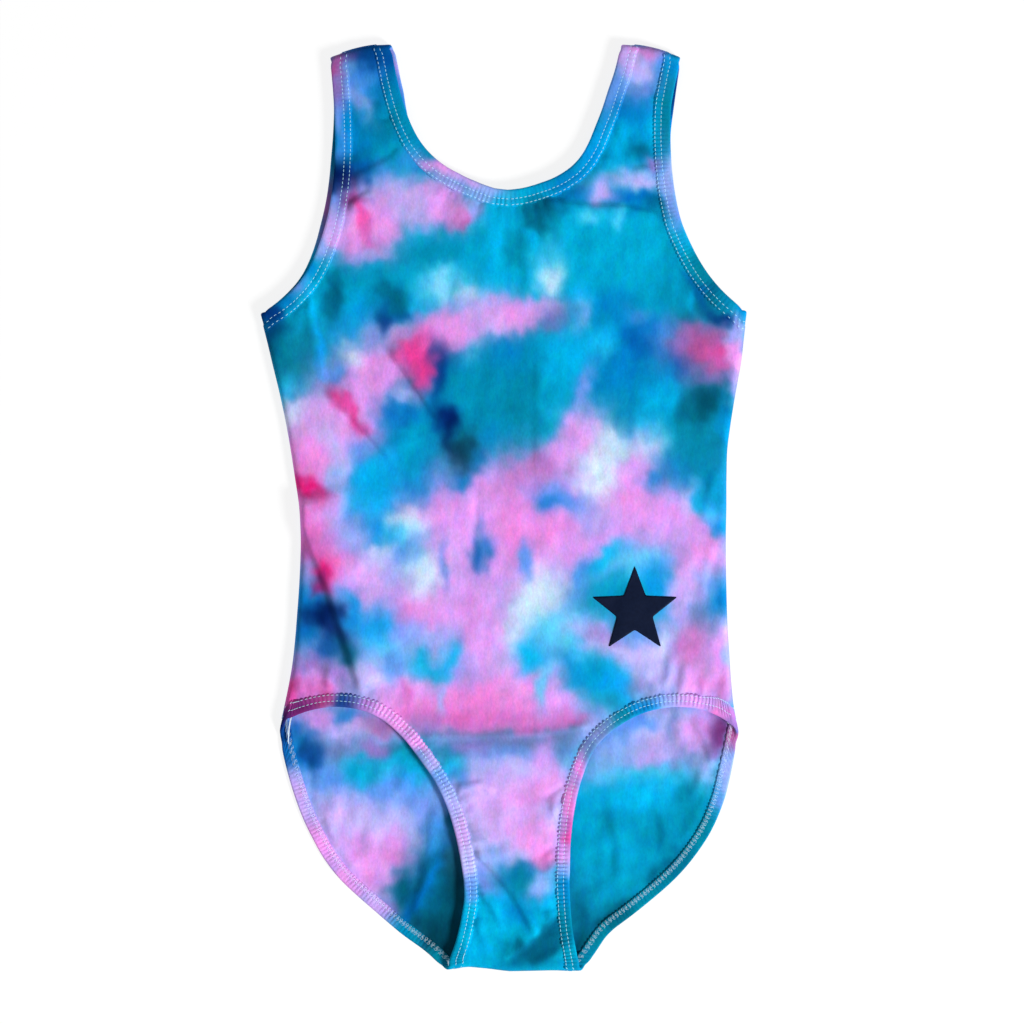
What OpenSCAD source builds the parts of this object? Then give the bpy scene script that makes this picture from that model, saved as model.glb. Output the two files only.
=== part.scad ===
// Sleeveless gymnastics leotard, lying flat on its back with the front face up.
// X runs across the body, Y runs from the crotch to the shoulders, Z is up.
// The two panels are stretch fabric. Their raw edges at the neck, the armholes and the legs are turned
// in over a closed loop of elastic and held by a twin-needle coverstitch. Overlocked seams join the
// panels at the sides, the shoulders and the crotch.

/* [Body] */
// Overall length, from the top of the straps to the crotch
body_len = 557; // [530:1:590]
// Width across the underarm points
chest_w = 292; // [284:1:300]
// Width at the narrowest place of the waist
waist_w = 255; // [245:1:262]
// Width at the hip, where the leg openings start
hip_w = 275; // [268:1:282]
// Width of the crotch, between the leg openings
crotch_w = 84; // [76:1:92]
// Height of the garment as it lies, from the back face to the front face
loft = 10; // [9:0.5:14]

/* [Neck and straps] */
// Width of the neck opening between the straps
neck_w = 136; // [130:1:142]
// Depth of the neckline below the top of the straps
neck_drop = 88; // [80:1:96]
// Width of each strap at the shoulder
strap_w = 37.5; // [34:0.5:41]
// How much lower a strap ends on its armhole side
strap_slope = 8; // [4:1:10]

/* [Openings] */
// Depth of the underarm point below the top of the straps
underarm_drop = 162; // [155:1:170]
// Depth of the leg openings' upper ends below the top of the straps
hip_drop = 412; // [402:1:420]
// Width of the front at its narrowest, between the leg openings
front_narrow_w = 63; // [58:1:68]

/* [Cloth and hems] */
// Thickness of the stretch fabric
fabric = 0.6; // [0.4:0.1:0.7]
// Thickness of the elastic and of the gusset lining
elastic_t = 0.6; // [0.4:0.1:0.7]
// Width of the elastic in the neck and armhole hems
elastic_w = 8; // [6:0.5:8.5]
// Width of the elastic in the leg hems
leg_elastic_w = 6.5; // [5:0.5:7]
// Width of the turned hem at the neck and the armholes
hem_w = 10.5; // [10:0.5:12]
// Width of the turned hem at the legs
leg_hem_w = 8.5; // [8:0.5:9]
// Distance between the two needle rows of the coverstitch
needle_gauge = 3.6; // [3.2:0.1:4]
// Thickness of the sewing thread
thread = 0.3; // [0.2:0.05:0.35]

/* [Seams and trims] */
// Width of the overlocked seam allowance
overlock_w = 6; // [5:0.5:7]
// Width of the care label
label_w = 30; // [20:1:36]
// Height of the care label
label_h = 22; // [15:1:40]
// Radius of the star printed on the hip
star_r = 27; // [20:1:30]

/* [Hidden] */
// Heights of the layers in a hem, counted from a panel's outer face
elastic_z = fabric;
turn_z = fabric + elastic_t;
looper_z = 2*fabric + elastic_t;
// Width of the fold that closes a hem at its edge, and of a seam's upright web
fold = 0.6;
web = 0.8;
// Thickness of the stretch of elastic that turns from the front to the back at a seam
post = 0.6;
// Space kept between a turned hem and a seam
hem_clear = 2;
// Distance of the outer needle row from the edge, and of the outer row of a leg hem
row_in = 5.7;
leg_row_in = 3.6;
// Width of a needle row, and how far the looper threads reach past the rows
row_w = 0.5;
looper_over = 0.3;
// Depth of the gusset lining's upper edge below the top of the straps
lining_drop = 416;
// Place of the star's middle
star_at = [76, -62];
// Height of the care label's lower edge, and how far inside the waist its outer edge lies
label_y = -60;
label_inset = 3;
// Straight pieces in each curve, and how far a cutting band runs past the end of its curve
steps = 14;
run_on = 1.5;

top_y = body_len/2;
underarm = [chest_w/2, top_y - underarm_drop];
hip = [hip_w/2, top_y - hip_drop];
crotch = [crotch_w/2, -top_y];
strap_in = [neck_w/2, top_y];
strap_out = [neck_w/2 + strap_w, top_y - strap_slope];
neck_low = [0, top_y - neck_drop];
front_narrow = [front_narrow_w/2, crotch.y + 54];

// Points along a cubic curve with two end points and two control points
function curve(a, b, c, d) =
    [for (i = [0:steps]) let (t = i/steps, s = 1 - t)
        s*s*s*a + 3*s*s*t*b + 3*s*t*t*c + t*t*t*d];
function flip(p) = [for (q = p) [-q.x, q.y]];
function rev(p) = [for (i = [len(p) - 1:-1:0]) p[i]];
function rest(p) = [for (i = [1:len(p) - 1]) p[i]];
function heading(p, i) =
    let (v = p[min(i + 1, len(p) - 1)] - p[max(i - 1, 0)]) v/norm(v);
// A line moved to the right of its own direction, which is into the cloth
function inset(p, d) =
    [for (i = [0:len(p) - 1]) let (u = heading(p, i)) p[i] + d*[u.y, -u.x]];
function lengthen(p, e) =
    let (n = len(p) - 1) concat([p[0] - e*heading(p, 0)], p, [p[n] + e*heading(p, n)]);

// The edges of the right half, each running clockwise round the cloth
neck_half = curve(neck_low, neck_low + [37, 3], strap_in - [10, 68], strap_in);
neck_edge = concat(rev(flip(neck_half)), rest(neck_half));
strap_edge = [for (t = [0, 0.32, 0.68, 1]) (1 - t)*strap_in + t*strap_out];
arm_edge = curve(strap_out, strap_out - [4, 45], underarm + [-51, 32], underarm);
side_edge = curve(underarm, [waist_w/2 + 1, 40], [waist_w/2 - 6, -58], hip);
front_leg_edge = concat(
    curve(hip, hip + [-20, 24], front_narrow + [3, 120], front_narrow),
    rest(curve(front_narrow, front_narrow + [1, -18], crotch + [-8, 12], crotch)));
back_leg_edge = curve(hip, hip + [-14, -96], crotch + [49, 56], crotch);
crotch_edge = [for (t = [1, 0.6, -0.6, -1]) [t*crotch.x, crotch.y]];

// The strip of cloth between two distances from an edge
module band(edge, from, to, past = 0) {
    long = lengthen(edge, max(past, 0.001));
    polygon(concat(inset(long, from), rev(inset(long, to))));
}

// Its child on the right side and, mirrored, on the left side
module both_sides() {
    children();
    mirror([1, 0]) children();
}

// The flat outline of a panel
module outline(leg_edge) {
    half = concat(arm_edge, rest(side_edge), rest(leg_edge));
    polygon(concat(neck_edge, half, rev(flip(half))));
}

// The cloth within a distance of a seam
module near_seams(d) {
    both_sides() {
        band(side_edge, -run_on, d, run_on);
        band(strap_edge, -run_on, d, run_on);
    }
    band(crotch_edge, -run_on, d, run_on);
}

// The strips that follow the hem edges of a panel, kept clear of the seams
module hem_strips(leg_edge, from, to, leg_from, leg_to, clear) {
    difference() {
        intersection() {
            outline(leg_edge);
            union() {
                band(neck_edge, from, to, run_on);
                both_sides() {
                    band(arm_edge, from, to, run_on);
                    band(leg_edge, leg_from, leg_to, run_on);
                }
            }
        }
        near_seams(clear);
    }
}

// One strip along one hem edge, kept clear of the seams
module hem_strip(edge, leg_edge, from, to, clear) {
    difference() {
        intersection() {
            outline(leg_edge);
            band(edge, from, to, run_on);
        }
        near_seams(clear);
    }
}

// Its child turned over on top of the loft, which makes a layer of the back into one of the front
module as_front() translate([0, 0, loft]) mirror([0, 0, 1]) children();

// Its child, made for the right side, mirrored to the left side
module left() mirror([1, 0, 0]) children();

// A panel with its outer face on z = 0: the cloth, grooved for the needle threads, and its turned hems
module panel(leg_edge) {
    linear_extrude(thread)
        difference() {
            outline(leg_edge);
            for (row = [0, needle_gauge])
                hem_strips(leg_edge, row_in + row, row_in + row + row_w,
                    leg_row_in + row, leg_row_in + row + row_w, hem_clear);
        }
    translate([0, 0, thread]) linear_extrude(fabric - thread) outline(leg_edge);
    translate([0, 0, elastic_z]) linear_extrude(elastic_t)
        hem_strips(leg_edge, 0, fold, 0, fold, hem_clear);
    translate([0, 0, turn_z]) linear_extrude(fabric)
        hem_strips(leg_edge, 0, hem_w, 0, leg_hem_w, hem_clear);
}

// The needle threads in a panel's outer face and the looper threads inside it, along one hem edge
module coverstitch(edge, leg_edge, first_row) {
    linear_extrude(thread)
        for (row = [0, needle_gauge])
            hem_strip(edge, leg_edge, first_row + row, first_row + row + row_w, hem_clear);
    translate([0, 0, looper_z]) linear_extrude(thread)
        hem_strip(edge, leg_edge, first_row - looper_over,
            first_row + needle_gauge + row_w + looper_over, hem_clear);
}

// One side of a loop of elastic, along one hem edge
module elastic_side(edge, leg_edge, width) {
    translate([0, 0, elastic_z]) linear_extrude(elastic_t)
        hem_strip(edge, leg_edge, fold, fold + width, web);
}

// The upright stretches where a loop of elastic turns from the front to the back, beside the seams
module elastic_posts(edge, width) {
    translate([0, 0, elastic_z]) linear_extrude(loft - 2*elastic_z)
        difference() {
            intersection() {
                outline(front_leg_edge);
                band(edge, fold, fold + width, run_on);
                near_seams(web + post);
            }
            near_seams(web);
        }
}

// A seam between the panels: its upright web, and its overlocked allowance turned inwards between the
// hems, which take the first point and the last few points of its edge
module seam(edge, hem_points = 1) {
    translate([0, 0, fabric]) linear_extrude(loft - 2*fabric)
        intersection() {
            outline(front_leg_edge);
            band(edge, 0, web);
        }
    translate([0, 0, loft/2 - fabric]) linear_extrude(2*fabric)
        band([for (i = [1:len(edge) - 1 - hem_points]) edge[i]], web/2, overlock_w);
}

module front_panel() color("mediumturquoise") as_front() panel(front_leg_edge);

module back_panel() color("cadetblue") panel(back_leg_edge);

module gusset_lining() color("mistyrose")
    as_front() translate([0, 0, elastic_z]) linear_extrude(elastic_t)
        difference() {
            intersection() {
                outline(front_leg_edge);
                translate([-hip.x, -top_y]) square([hip_w, body_len - lining_drop]);
            }
            both_sides() band(front_leg_edge, -run_on, fold + leg_elastic_w, run_on);
            near_seams(hem_clear);
        }

module neck_elastic() color("whitesmoke") {
    as_front() elastic_side(neck_edge, front_leg_edge, elastic_w);
    elastic_side(neck_edge, back_leg_edge, elastic_w);
    elastic_posts(neck_edge, elastic_w);
}

module armhole_elastic() color("whitesmoke") {
    as_front() elastic_side(arm_edge, front_leg_edge, elastic_w);
    elastic_side(arm_edge, back_leg_edge, elastic_w);
    elastic_posts(arm_edge, elastic_w);
}

module leg_elastic() color("whitesmoke") {
    as_front() elastic_side(front_leg_edge, front_leg_edge, leg_elastic_w);
    elastic_side(back_leg_edge, back_leg_edge, leg_elastic_w);
    elastic_posts(front_leg_edge, leg_elastic_w);
}

module neck_coverstitch() color("paleturquoise") {
    as_front() coverstitch(neck_edge, front_leg_edge, row_in);
    coverstitch(neck_edge, back_leg_edge, row_in);
}

module armhole_coverstitch() color("paleturquoise") {
    as_front() coverstitch(arm_edge, front_leg_edge, row_in);
    coverstitch(arm_edge, back_leg_edge, row_in);
}

module leg_coverstitch() color("paleturquoise") {
    as_front() coverstitch(front_leg_edge, front_leg_edge, leg_row_in);
    coverstitch(back_leg_edge, back_leg_edge, leg_row_in);
}

module side_seam() color("white") seam(side_edge, 2);
module shoulder_seam() color("white") seam(strap_edge);
module crotch_seam() color("white") seam(crotch_edge);

// A blank satin label caught in the left side seam, lying on its allowance
module care_label() color("white")
    left() translate([waist_w/2 - label_inset - label_w, label_y, loft/2 + fabric])
        cube([label_w, label_h, thread]);

// A five-pointed star, printed on the front as a thin film
module hip_star() color("midnightblue")
    translate([star_at.x, star_at.y, loft]) linear_extrude(thread/2)
        polygon([for (i = [0:9])
            let (r = i % 2 == 0 ? star_r : star_r*0.42, a = 90 + 36*i) r*[cos(a), sin(a)]]);

front_panel();
back_panel();
gusset_lining();
neck_elastic();
left() armhole_elastic();  // left_armhole_elastic
armhole_elastic();  // right_armhole_elastic
left() leg_elastic();  // left_leg_elastic
leg_elastic();  // right_leg_elastic
neck_coverstitch();
left() armhole_coverstitch();  // left_armhole_coverstitch
armhole_coverstitch();  // right_armhole_coverstitch
left() leg_coverstitch();  // left_leg_coverstitch
leg_coverstitch();  // right_leg_coverstitch
left() side_seam();  // left_side_seam
side_seam();  // right_side_seam
left() shoulder_seam();  // left_shoulder_seam
shoulder_seam();  // right_shoulder_seam
crotch_seam();
care_label();
hip_star();
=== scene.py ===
import math

import bpy
import numpy as np
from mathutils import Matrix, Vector
from mathutils.bvhtree import BVHTree
from mathutils.geometry import delaunay_2d_cdt


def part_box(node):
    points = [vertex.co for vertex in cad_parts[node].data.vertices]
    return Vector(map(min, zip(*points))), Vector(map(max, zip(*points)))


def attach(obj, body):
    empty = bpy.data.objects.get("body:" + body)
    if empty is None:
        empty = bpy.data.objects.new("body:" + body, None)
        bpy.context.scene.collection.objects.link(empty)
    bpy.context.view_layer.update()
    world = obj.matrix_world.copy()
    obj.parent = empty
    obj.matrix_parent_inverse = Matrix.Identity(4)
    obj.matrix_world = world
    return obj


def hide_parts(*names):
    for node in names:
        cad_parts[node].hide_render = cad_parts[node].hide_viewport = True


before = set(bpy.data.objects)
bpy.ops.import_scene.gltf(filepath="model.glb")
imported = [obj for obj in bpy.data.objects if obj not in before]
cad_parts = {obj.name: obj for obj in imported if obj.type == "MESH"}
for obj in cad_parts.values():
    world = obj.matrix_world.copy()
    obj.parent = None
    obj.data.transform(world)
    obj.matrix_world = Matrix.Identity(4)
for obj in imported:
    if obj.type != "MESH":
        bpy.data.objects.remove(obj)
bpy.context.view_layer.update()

# ---------------------------------------------------------------------------------------------------
# The room: a pale floor, a large soft key light low on the right, a wide fill and a pale sky.
# The garment lies flat on the floor and the camera looks straight down at it.
# ---------------------------------------------------------------------------------------------------
scene = bpy.context.scene
scene.view_settings.view_transform = "Standard"

camera_data = bpy.data.cameras.new("camera")
camera_data.lens = 85
camera_data.sensor_width = 36
camera = bpy.data.objects.new("camera", camera_data)
camera.location = (0.0024, -0.0027, 1.457)
scene.collection.objects.link(camera)
scene.camera = camera


def soft_light(name, place, size, power):
    """A square area light that faces the middle of the garment."""
    lamp = bpy.data.lights.new(name, "AREA")
    lamp.shape = "SQUARE"
    lamp.size = size
    lamp.energy = power
    holder = bpy.data.objects.new(name, lamp)
    holder.location = place
    holder.rotation_euler = (-Vector(place)).to_track_quat("-Z", "Y").to_euler()
    scene.collection.objects.link(holder)


soft_light("key", (1.8, -1.35, 1.35), 0.6, 97)
soft_light("fill", (-1.4, 0.9, 1.4), 1.6, 12)
sky = bpy.data.worlds.new("sky")
sky.use_nodes = True
sky.node_tree.nodes["Background"].inputs["Color"].default_value = (1, 1, 1, 1)
sky.node_tree.nodes["Background"].inputs["Strength"].default_value = 0.21
scene.world = sky

bpy.ops.object.select_all(action="DESELECT")
bpy.ops.mesh.primitive_plane_add(size=4, location=(0, 0, 0))
floor = bpy.context.object
floor.name = "floor"
paint = bpy.data.materials.new("pale floor")
paint.use_nodes = True
coat = paint.node_tree.nodes["Principled BSDF"]
coat.inputs["Base Color"].default_value = (0.2, 0.2, 0.2, 1)
coat.inputs["Roughness"].default_value = 0.9
coat.inputs["Emission Color"].default_value = (1, 1, 1, 1)
coat.inputs["Emission Strength"].default_value = 0.82
coat.inputs["Specular IOR Level"].default_value = 0.0
floor.data.materials.append(paint)

# ---------------------------------------------------------------------------------------------------
# The cut: the edges of the garment as it lies, in millimetres. Places come from the seams and hems of
# the frame, the curves between them from the pattern, and the garment lies a little askew.
# ---------------------------------------------------------------------------------------------------
MM = 1000


def corner(node, side, level):
    """A corner of a node's box on the right side, in millimetres."""
    low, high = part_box(node)
    x = high.x if side == "outer" else low.x
    y = high.y if level == "top" else low.y
    return np.array([x * MM, y * MM])


strap_in = corner("right_shoulder_seam", "inner", "top")
strap_out = np.array([corner("right_shoulder_seam", "outer", "top")[0], strap_in[1] - 8])
underarm = corner("right_side_seam", "outer", "top")
crotch = corner("crotch_seam", "outer", "bottom")
hip = np.array([137.5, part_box("right_side_seam")[0].y * MM])
neck_low = np.array([0, 190.5])
front_narrow = crotch + [-10.5, 54]
waist = 127.5


def curve(a, b, c, d, n=80):
    """Points along a cubic curve."""
    t = np.linspace(0, 1, n)[:, None]
    a, b, c, d = (np.array(p, float) for p in (a, b, c, d))
    return (1 - t)**3 * a + 3 * (1 - t)**2 * t * b + 3 * (1 - t) * t * t * c + t**3 * d


def measured(line):
    """How far along a line each of its points is."""
    return np.concatenate([[0], np.cumsum(np.linalg.norm(np.diff(line, axis=0), axis=1))])


def evenly(line, step):
    """The line again, with its points a step apart."""
    s = measured(line)
    at = np.linspace(0, s[-1], max(2, round(s[-1] / step) + 1))
    return np.stack([np.interp(at, s, line[:, k]) for k in range(line.shape[1])], 1)


def joined(*lines):
    """Lines end to end, without the repeated points."""
    kept = [lines[0]] + [line[1:] for line in lines[1:]]
    return np.concatenate(kept)


def mirrored(line):
    """The line on the left side, running the other way."""
    return line[::-1] * [-1, 1]


def rightward(line):
    """The unit normals to the right of a line, which is into the cloth."""
    along = np.gradient(line, axis=0)
    along /= np.linalg.norm(along, axis=1)[:, None]
    return np.stack([along[:, 1], -along[:, 0]], 1)


def smooth_step(x, low, high):
    """From 0 at the low end to 1 at the high end, level at both."""
    t = np.clip((x - low) / (high - low), 0, 1)
    return t * t * (3 - 2 * t)


# How far each edge lies from its place in the pattern: the height, and the shift to the right there
LIE = {
    "left neck": [(200, 0), (209, -1), (219, -2), (234, -2.5), (268, -2.5), (279, -3)],
    "right neck": [(200, 0), (207, -0.5), (215, -1.5), (228, -3), (250, -2.5), (262, -1), (279, 0)],
    "left strap": [(270, -1.5), (279, -3)],
    "right strap": [(270, -1.5), (279, 0)],
    "left arm": [(116, -3), (125, -0.5), (138, 0.5), (160, -0.5), (235, -1), (270, -1.5)],
    "right arm": [(116, -2.5), (121, -0.5), (143, -2), (158, -3), (172, -4.5), (225, -5.5), (240, -5.5),
                  (260, -3), (270, -1.5)],
    "left back arm": [(116, -3), (138, -1.5), (155, -3), (170, -4), (210, -3.5), (240, -1.5), (270, -1.5)],
    "right back arm": [(116, -2.5), (121, -0.5), (143, -2), (158, -3), (172, -4.5), (225, -5), (240, -3.5),
                       (260, -2), (270, -1.5)],
    "left side": [(-133, 0), (-120, 0.5), (-95, 2), (-65, 2.5), (-20, 4.5), (0, 4.5), (18, 3), (45, 1.5),
                  (60, 0.5), (85, -1.5), (116, -3)],
    "right side": [(-133, 1), (-120, 0.5), (-90, 2), (-50, 2.5), (0, 1.5), (35, -1), (88, 0), (116, -2.5)],
    "left leg": [(-278, 4), (-270, 3), (-260, 4), (-235, 6), (-210, 3.5), (-182, 1), (-163, -1.5),
                 (-150, -4), (-132, -3.5), (-124, -1), (-115, 0)],
    "right leg": [(-278, 3), (-265, 4.5), (-218, 5.5), (-182, 3), (-158, 0.5), (-149, -1), (-142, -2),
                  (-132, -1), (-115, 0)],
    "left back leg": [(-278, 4), (-266, 3), (-260, -0.5), (-252, -1.5), (-225, -1), (-200, 1), (-175, 0.5),
                      (-147, -0.5), (-133, 0)],
    "right back leg": [(-278, 3), (-272, 2), (-265, 0), (-256, -3.5), (-246, -1), (-227, 0), (-208, 0.5),
                       (-195, 1.5), (-175, 2), (-133, 1)],
    "crotch": [(-280, 3.5), (-270, 3.5)],
}


def laid(line, name):
    """An edge of the pattern, moved to where it lies."""
    heights, moves = zip(*LIE[name])
    shift = sum(np.interp(line[:, 1] + d, heights, moves) for d in (-4, -2, 0, 2, 4)) / 5
    return line + np.c_[shift, 0 * shift]


neck_half = curve(neck_low, neck_low + [37, 3], strap_in - [10, 68], strap_in)
arm_edge = curve(strap_out, strap_out - [4, 45], underarm + [-51, 32], underarm)
side_edge = curve(underarm, [waist + 1, 40], [waist - 6, -58], hip)
front_leg_edge = joined(
    curve(hip, hip + [-20, 24], front_narrow + [3, 120], front_narrow),
    curve(front_narrow, front_narrow + [1, -18], crotch + [-8, 12], crotch))
back_leg_edge = curve(hip, hip + [-14, -96], crotch + [49, 56], crotch)
strap_edge = curve(strap_in, strap_in + [12, 0.5], strap_out + [-12, 5], strap_out, 12)
crotch_edge = curve(crotch, crotch - [20, 1], crotch * [-1, 1] + [20, -0.5], crotch * [-1, 1], 20)

right_neck, left_neck = laid(neck_half, "right neck"), laid(mirrored(neck_half), "left neck")
NECK = joined(left_neck, right_neck)
NECK[:, 1] += np.interp(NECK[:, 0], (-55, -30, -20, -8, 8, 20, 33, 45), (0, 2.5, 2, 0.3, 0.3, 1, 0.8, 0))
shown = np.interp(NECK[:, 1], (235, 250, 276, 279), (0, 2, 2, 0)) * (NECK[:, 0] < 0)
BACK_NECK = NECK + np.c_[shown, 0 * shown]
RIGHT = {"strap": laid(strap_edge, "right strap"), "arm": laid(arm_edge, "right arm"),
         "side": laid(side_edge, "right side"), "leg": laid(front_leg_edge, "right leg"),
         "back arm": laid(arm_edge, "right back arm"), "back leg": laid(back_leg_edge, "right back leg")}
LEFT = {"strap": laid(mirrored(strap_edge), "left strap"), "arm": laid(mirrored(arm_edge), "left arm"),
        "side": laid(mirrored(side_edge), "left side"), "leg": laid(mirrored(front_leg_edge), "left leg"),
        "back arm": laid(mirrored(arm_edge), "left back arm"),
        "back leg": laid(mirrored(back_leg_edge), "left back leg")}
CROTCH = laid(crotch_edge, "crotch")
CROTCH[:, 1] += np.interp(CROTCH[:, 0], (-38, -25, -12, 0, 28, 42), (0, 3, 2, 0.5, 1, 0))


def outline(neck, face):
    """The closed edge of the front or the back, clockwise from the left end of the neckline."""
    return joined(neck, RIGHT["strap"], RIGHT[face + "arm"], RIGHT["side"], RIGHT[face + "leg"], CROTCH,
                  LEFT[face + "leg"], LEFT["side"], LEFT[face + "arm"], LEFT["strap"])


def distance(points, line):
    """Each point's distance from a line, how far along the line it is, and which side it is on."""
    a, b = line[:-1], line[1:]
    ab = b - a
    length = (ab**2).sum(1)
    starts = measured(line)[:-1]
    near, at, side = [], [], []
    for chunk in np.array_split(points, max(1, len(points) * len(a) // 3000000 + 1)):
        ap = chunk[:, None] - a
        t = np.clip((ap * ab).sum(2) / length, 0, 1)
        gap = ap - t[..., None] * ab
        d2 = (gap**2).sum(2)
        i = d2.argmin(1)
        rows = np.arange(len(chunk))
        near.append(np.sqrt(d2[rows, i]))
        at.append(starts[i] + t[rows, i] * np.sqrt(length[i]))
        cross = ab[i, 0] * ap[rows, i, 1] - ab[i, 1] * ap[rows, i, 0]
        side.append(np.where(cross < 0, 1, -1))
    return np.concatenate(near), np.concatenate(at), np.concatenate(side)


def inside(points, loop):
    """Which points lie inside a closed loop."""
    x, y = points[:, :1], points[:, 1:]
    (x0, y0), (x1, y1) = loop.T, np.roll(loop, -1, 0).T
    crossed = ((y0 > y) != (y1 > y)) & (x < (x1 - x0) * (y - y0) / (y1 - y0 + 1e-12) + x0)
    return crossed.sum(1) % 2 == 1


def cloud(points, size, seed, waves=28):
    """A smooth random field over the plane, with lumps of about that size and a spread of one."""
    dice = np.random.default_rng(seed)
    angle = dice.uniform(0, 2 * math.pi, waves)
    pitch = math.pi / size * dice.uniform(0.5, 1.5, waves)
    start = dice.uniform(0, 2 * math.pi, waves)
    ways = np.stack([np.cos(angle), np.sin(angle)]) * pitch
    return np.cos(points[:, :2] @ ways + start).sum(1) / math.sqrt(waves / 2)


# Width of the hems and how far in their needle rows are, at the neck and the arms and at the legs
HEM = {"width": 9.9, "rows": (5.7, 9.3)}
LEG_HEM = {"width": 7.9, "rows": (3.7, 7.3)}
FRONT_Z, BACK_Z = 5.4, 1.15     # the middle of the hems of the front and of the back
FABRIC = 0.6                    # thickness of the cloth
HEM_HALF = 1.05                 # half the thickness of a hem
TUCK = 1.8                      # how far the cloth of a panel reaches into its hems
ROLL = 4.5                      # how far in from a seam the cloth starts to roll down

# ---------------------------------------------------------------------------------------------------
# The dye, with some painted shade and highlights. The cloth was crumpled, tied and soaked with one pour
# after another, so each patch of dye is a pour with a soft edge that wandered along the creases; a few dark
# and bright patches are painted shade and highlights of folds and hems. Places are millimetres on the cloth.
# ---------------------------------------------------------------------------------------------------
DYES = {
    "ink": (0, 25, 85), "navy": (0, 52, 122), "royal": (0, 85, 165), "blue": (0, 110, 190),
    "ocean": (0, 126, 200), "azure": (0, 152, 230), "cyan": (0, 183, 240), "aqua": (85, 207, 250),
    "ice": (208, 230, 252), "black teal": (0, 52, 68), "deep teal": (0, 92, 124),
    "teal": (0, 125, 155), "turquoise": (0, 140, 180), "sea": (0, 170, 214),
    "cornflower": (75, 142, 232), "periwinkle": (116, 150, 236), "haze": (156, 172, 246),
    "lilac": (190, 182, 248), "lavender": (206, 166, 242), "orchid": (222, 150, 238),
    "rose": (236, 150, 236), "pink": (235, 125, 212), "fuchsia": (214, 95, 184),
    "hot": (230, 60, 150), "red": (224, 8, 100), "berry": (184, 76, 145), "mauve": (150, 110, 190),
    "plum": (110, 35, 105), "slate": (100, 116, 172),
}
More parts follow.
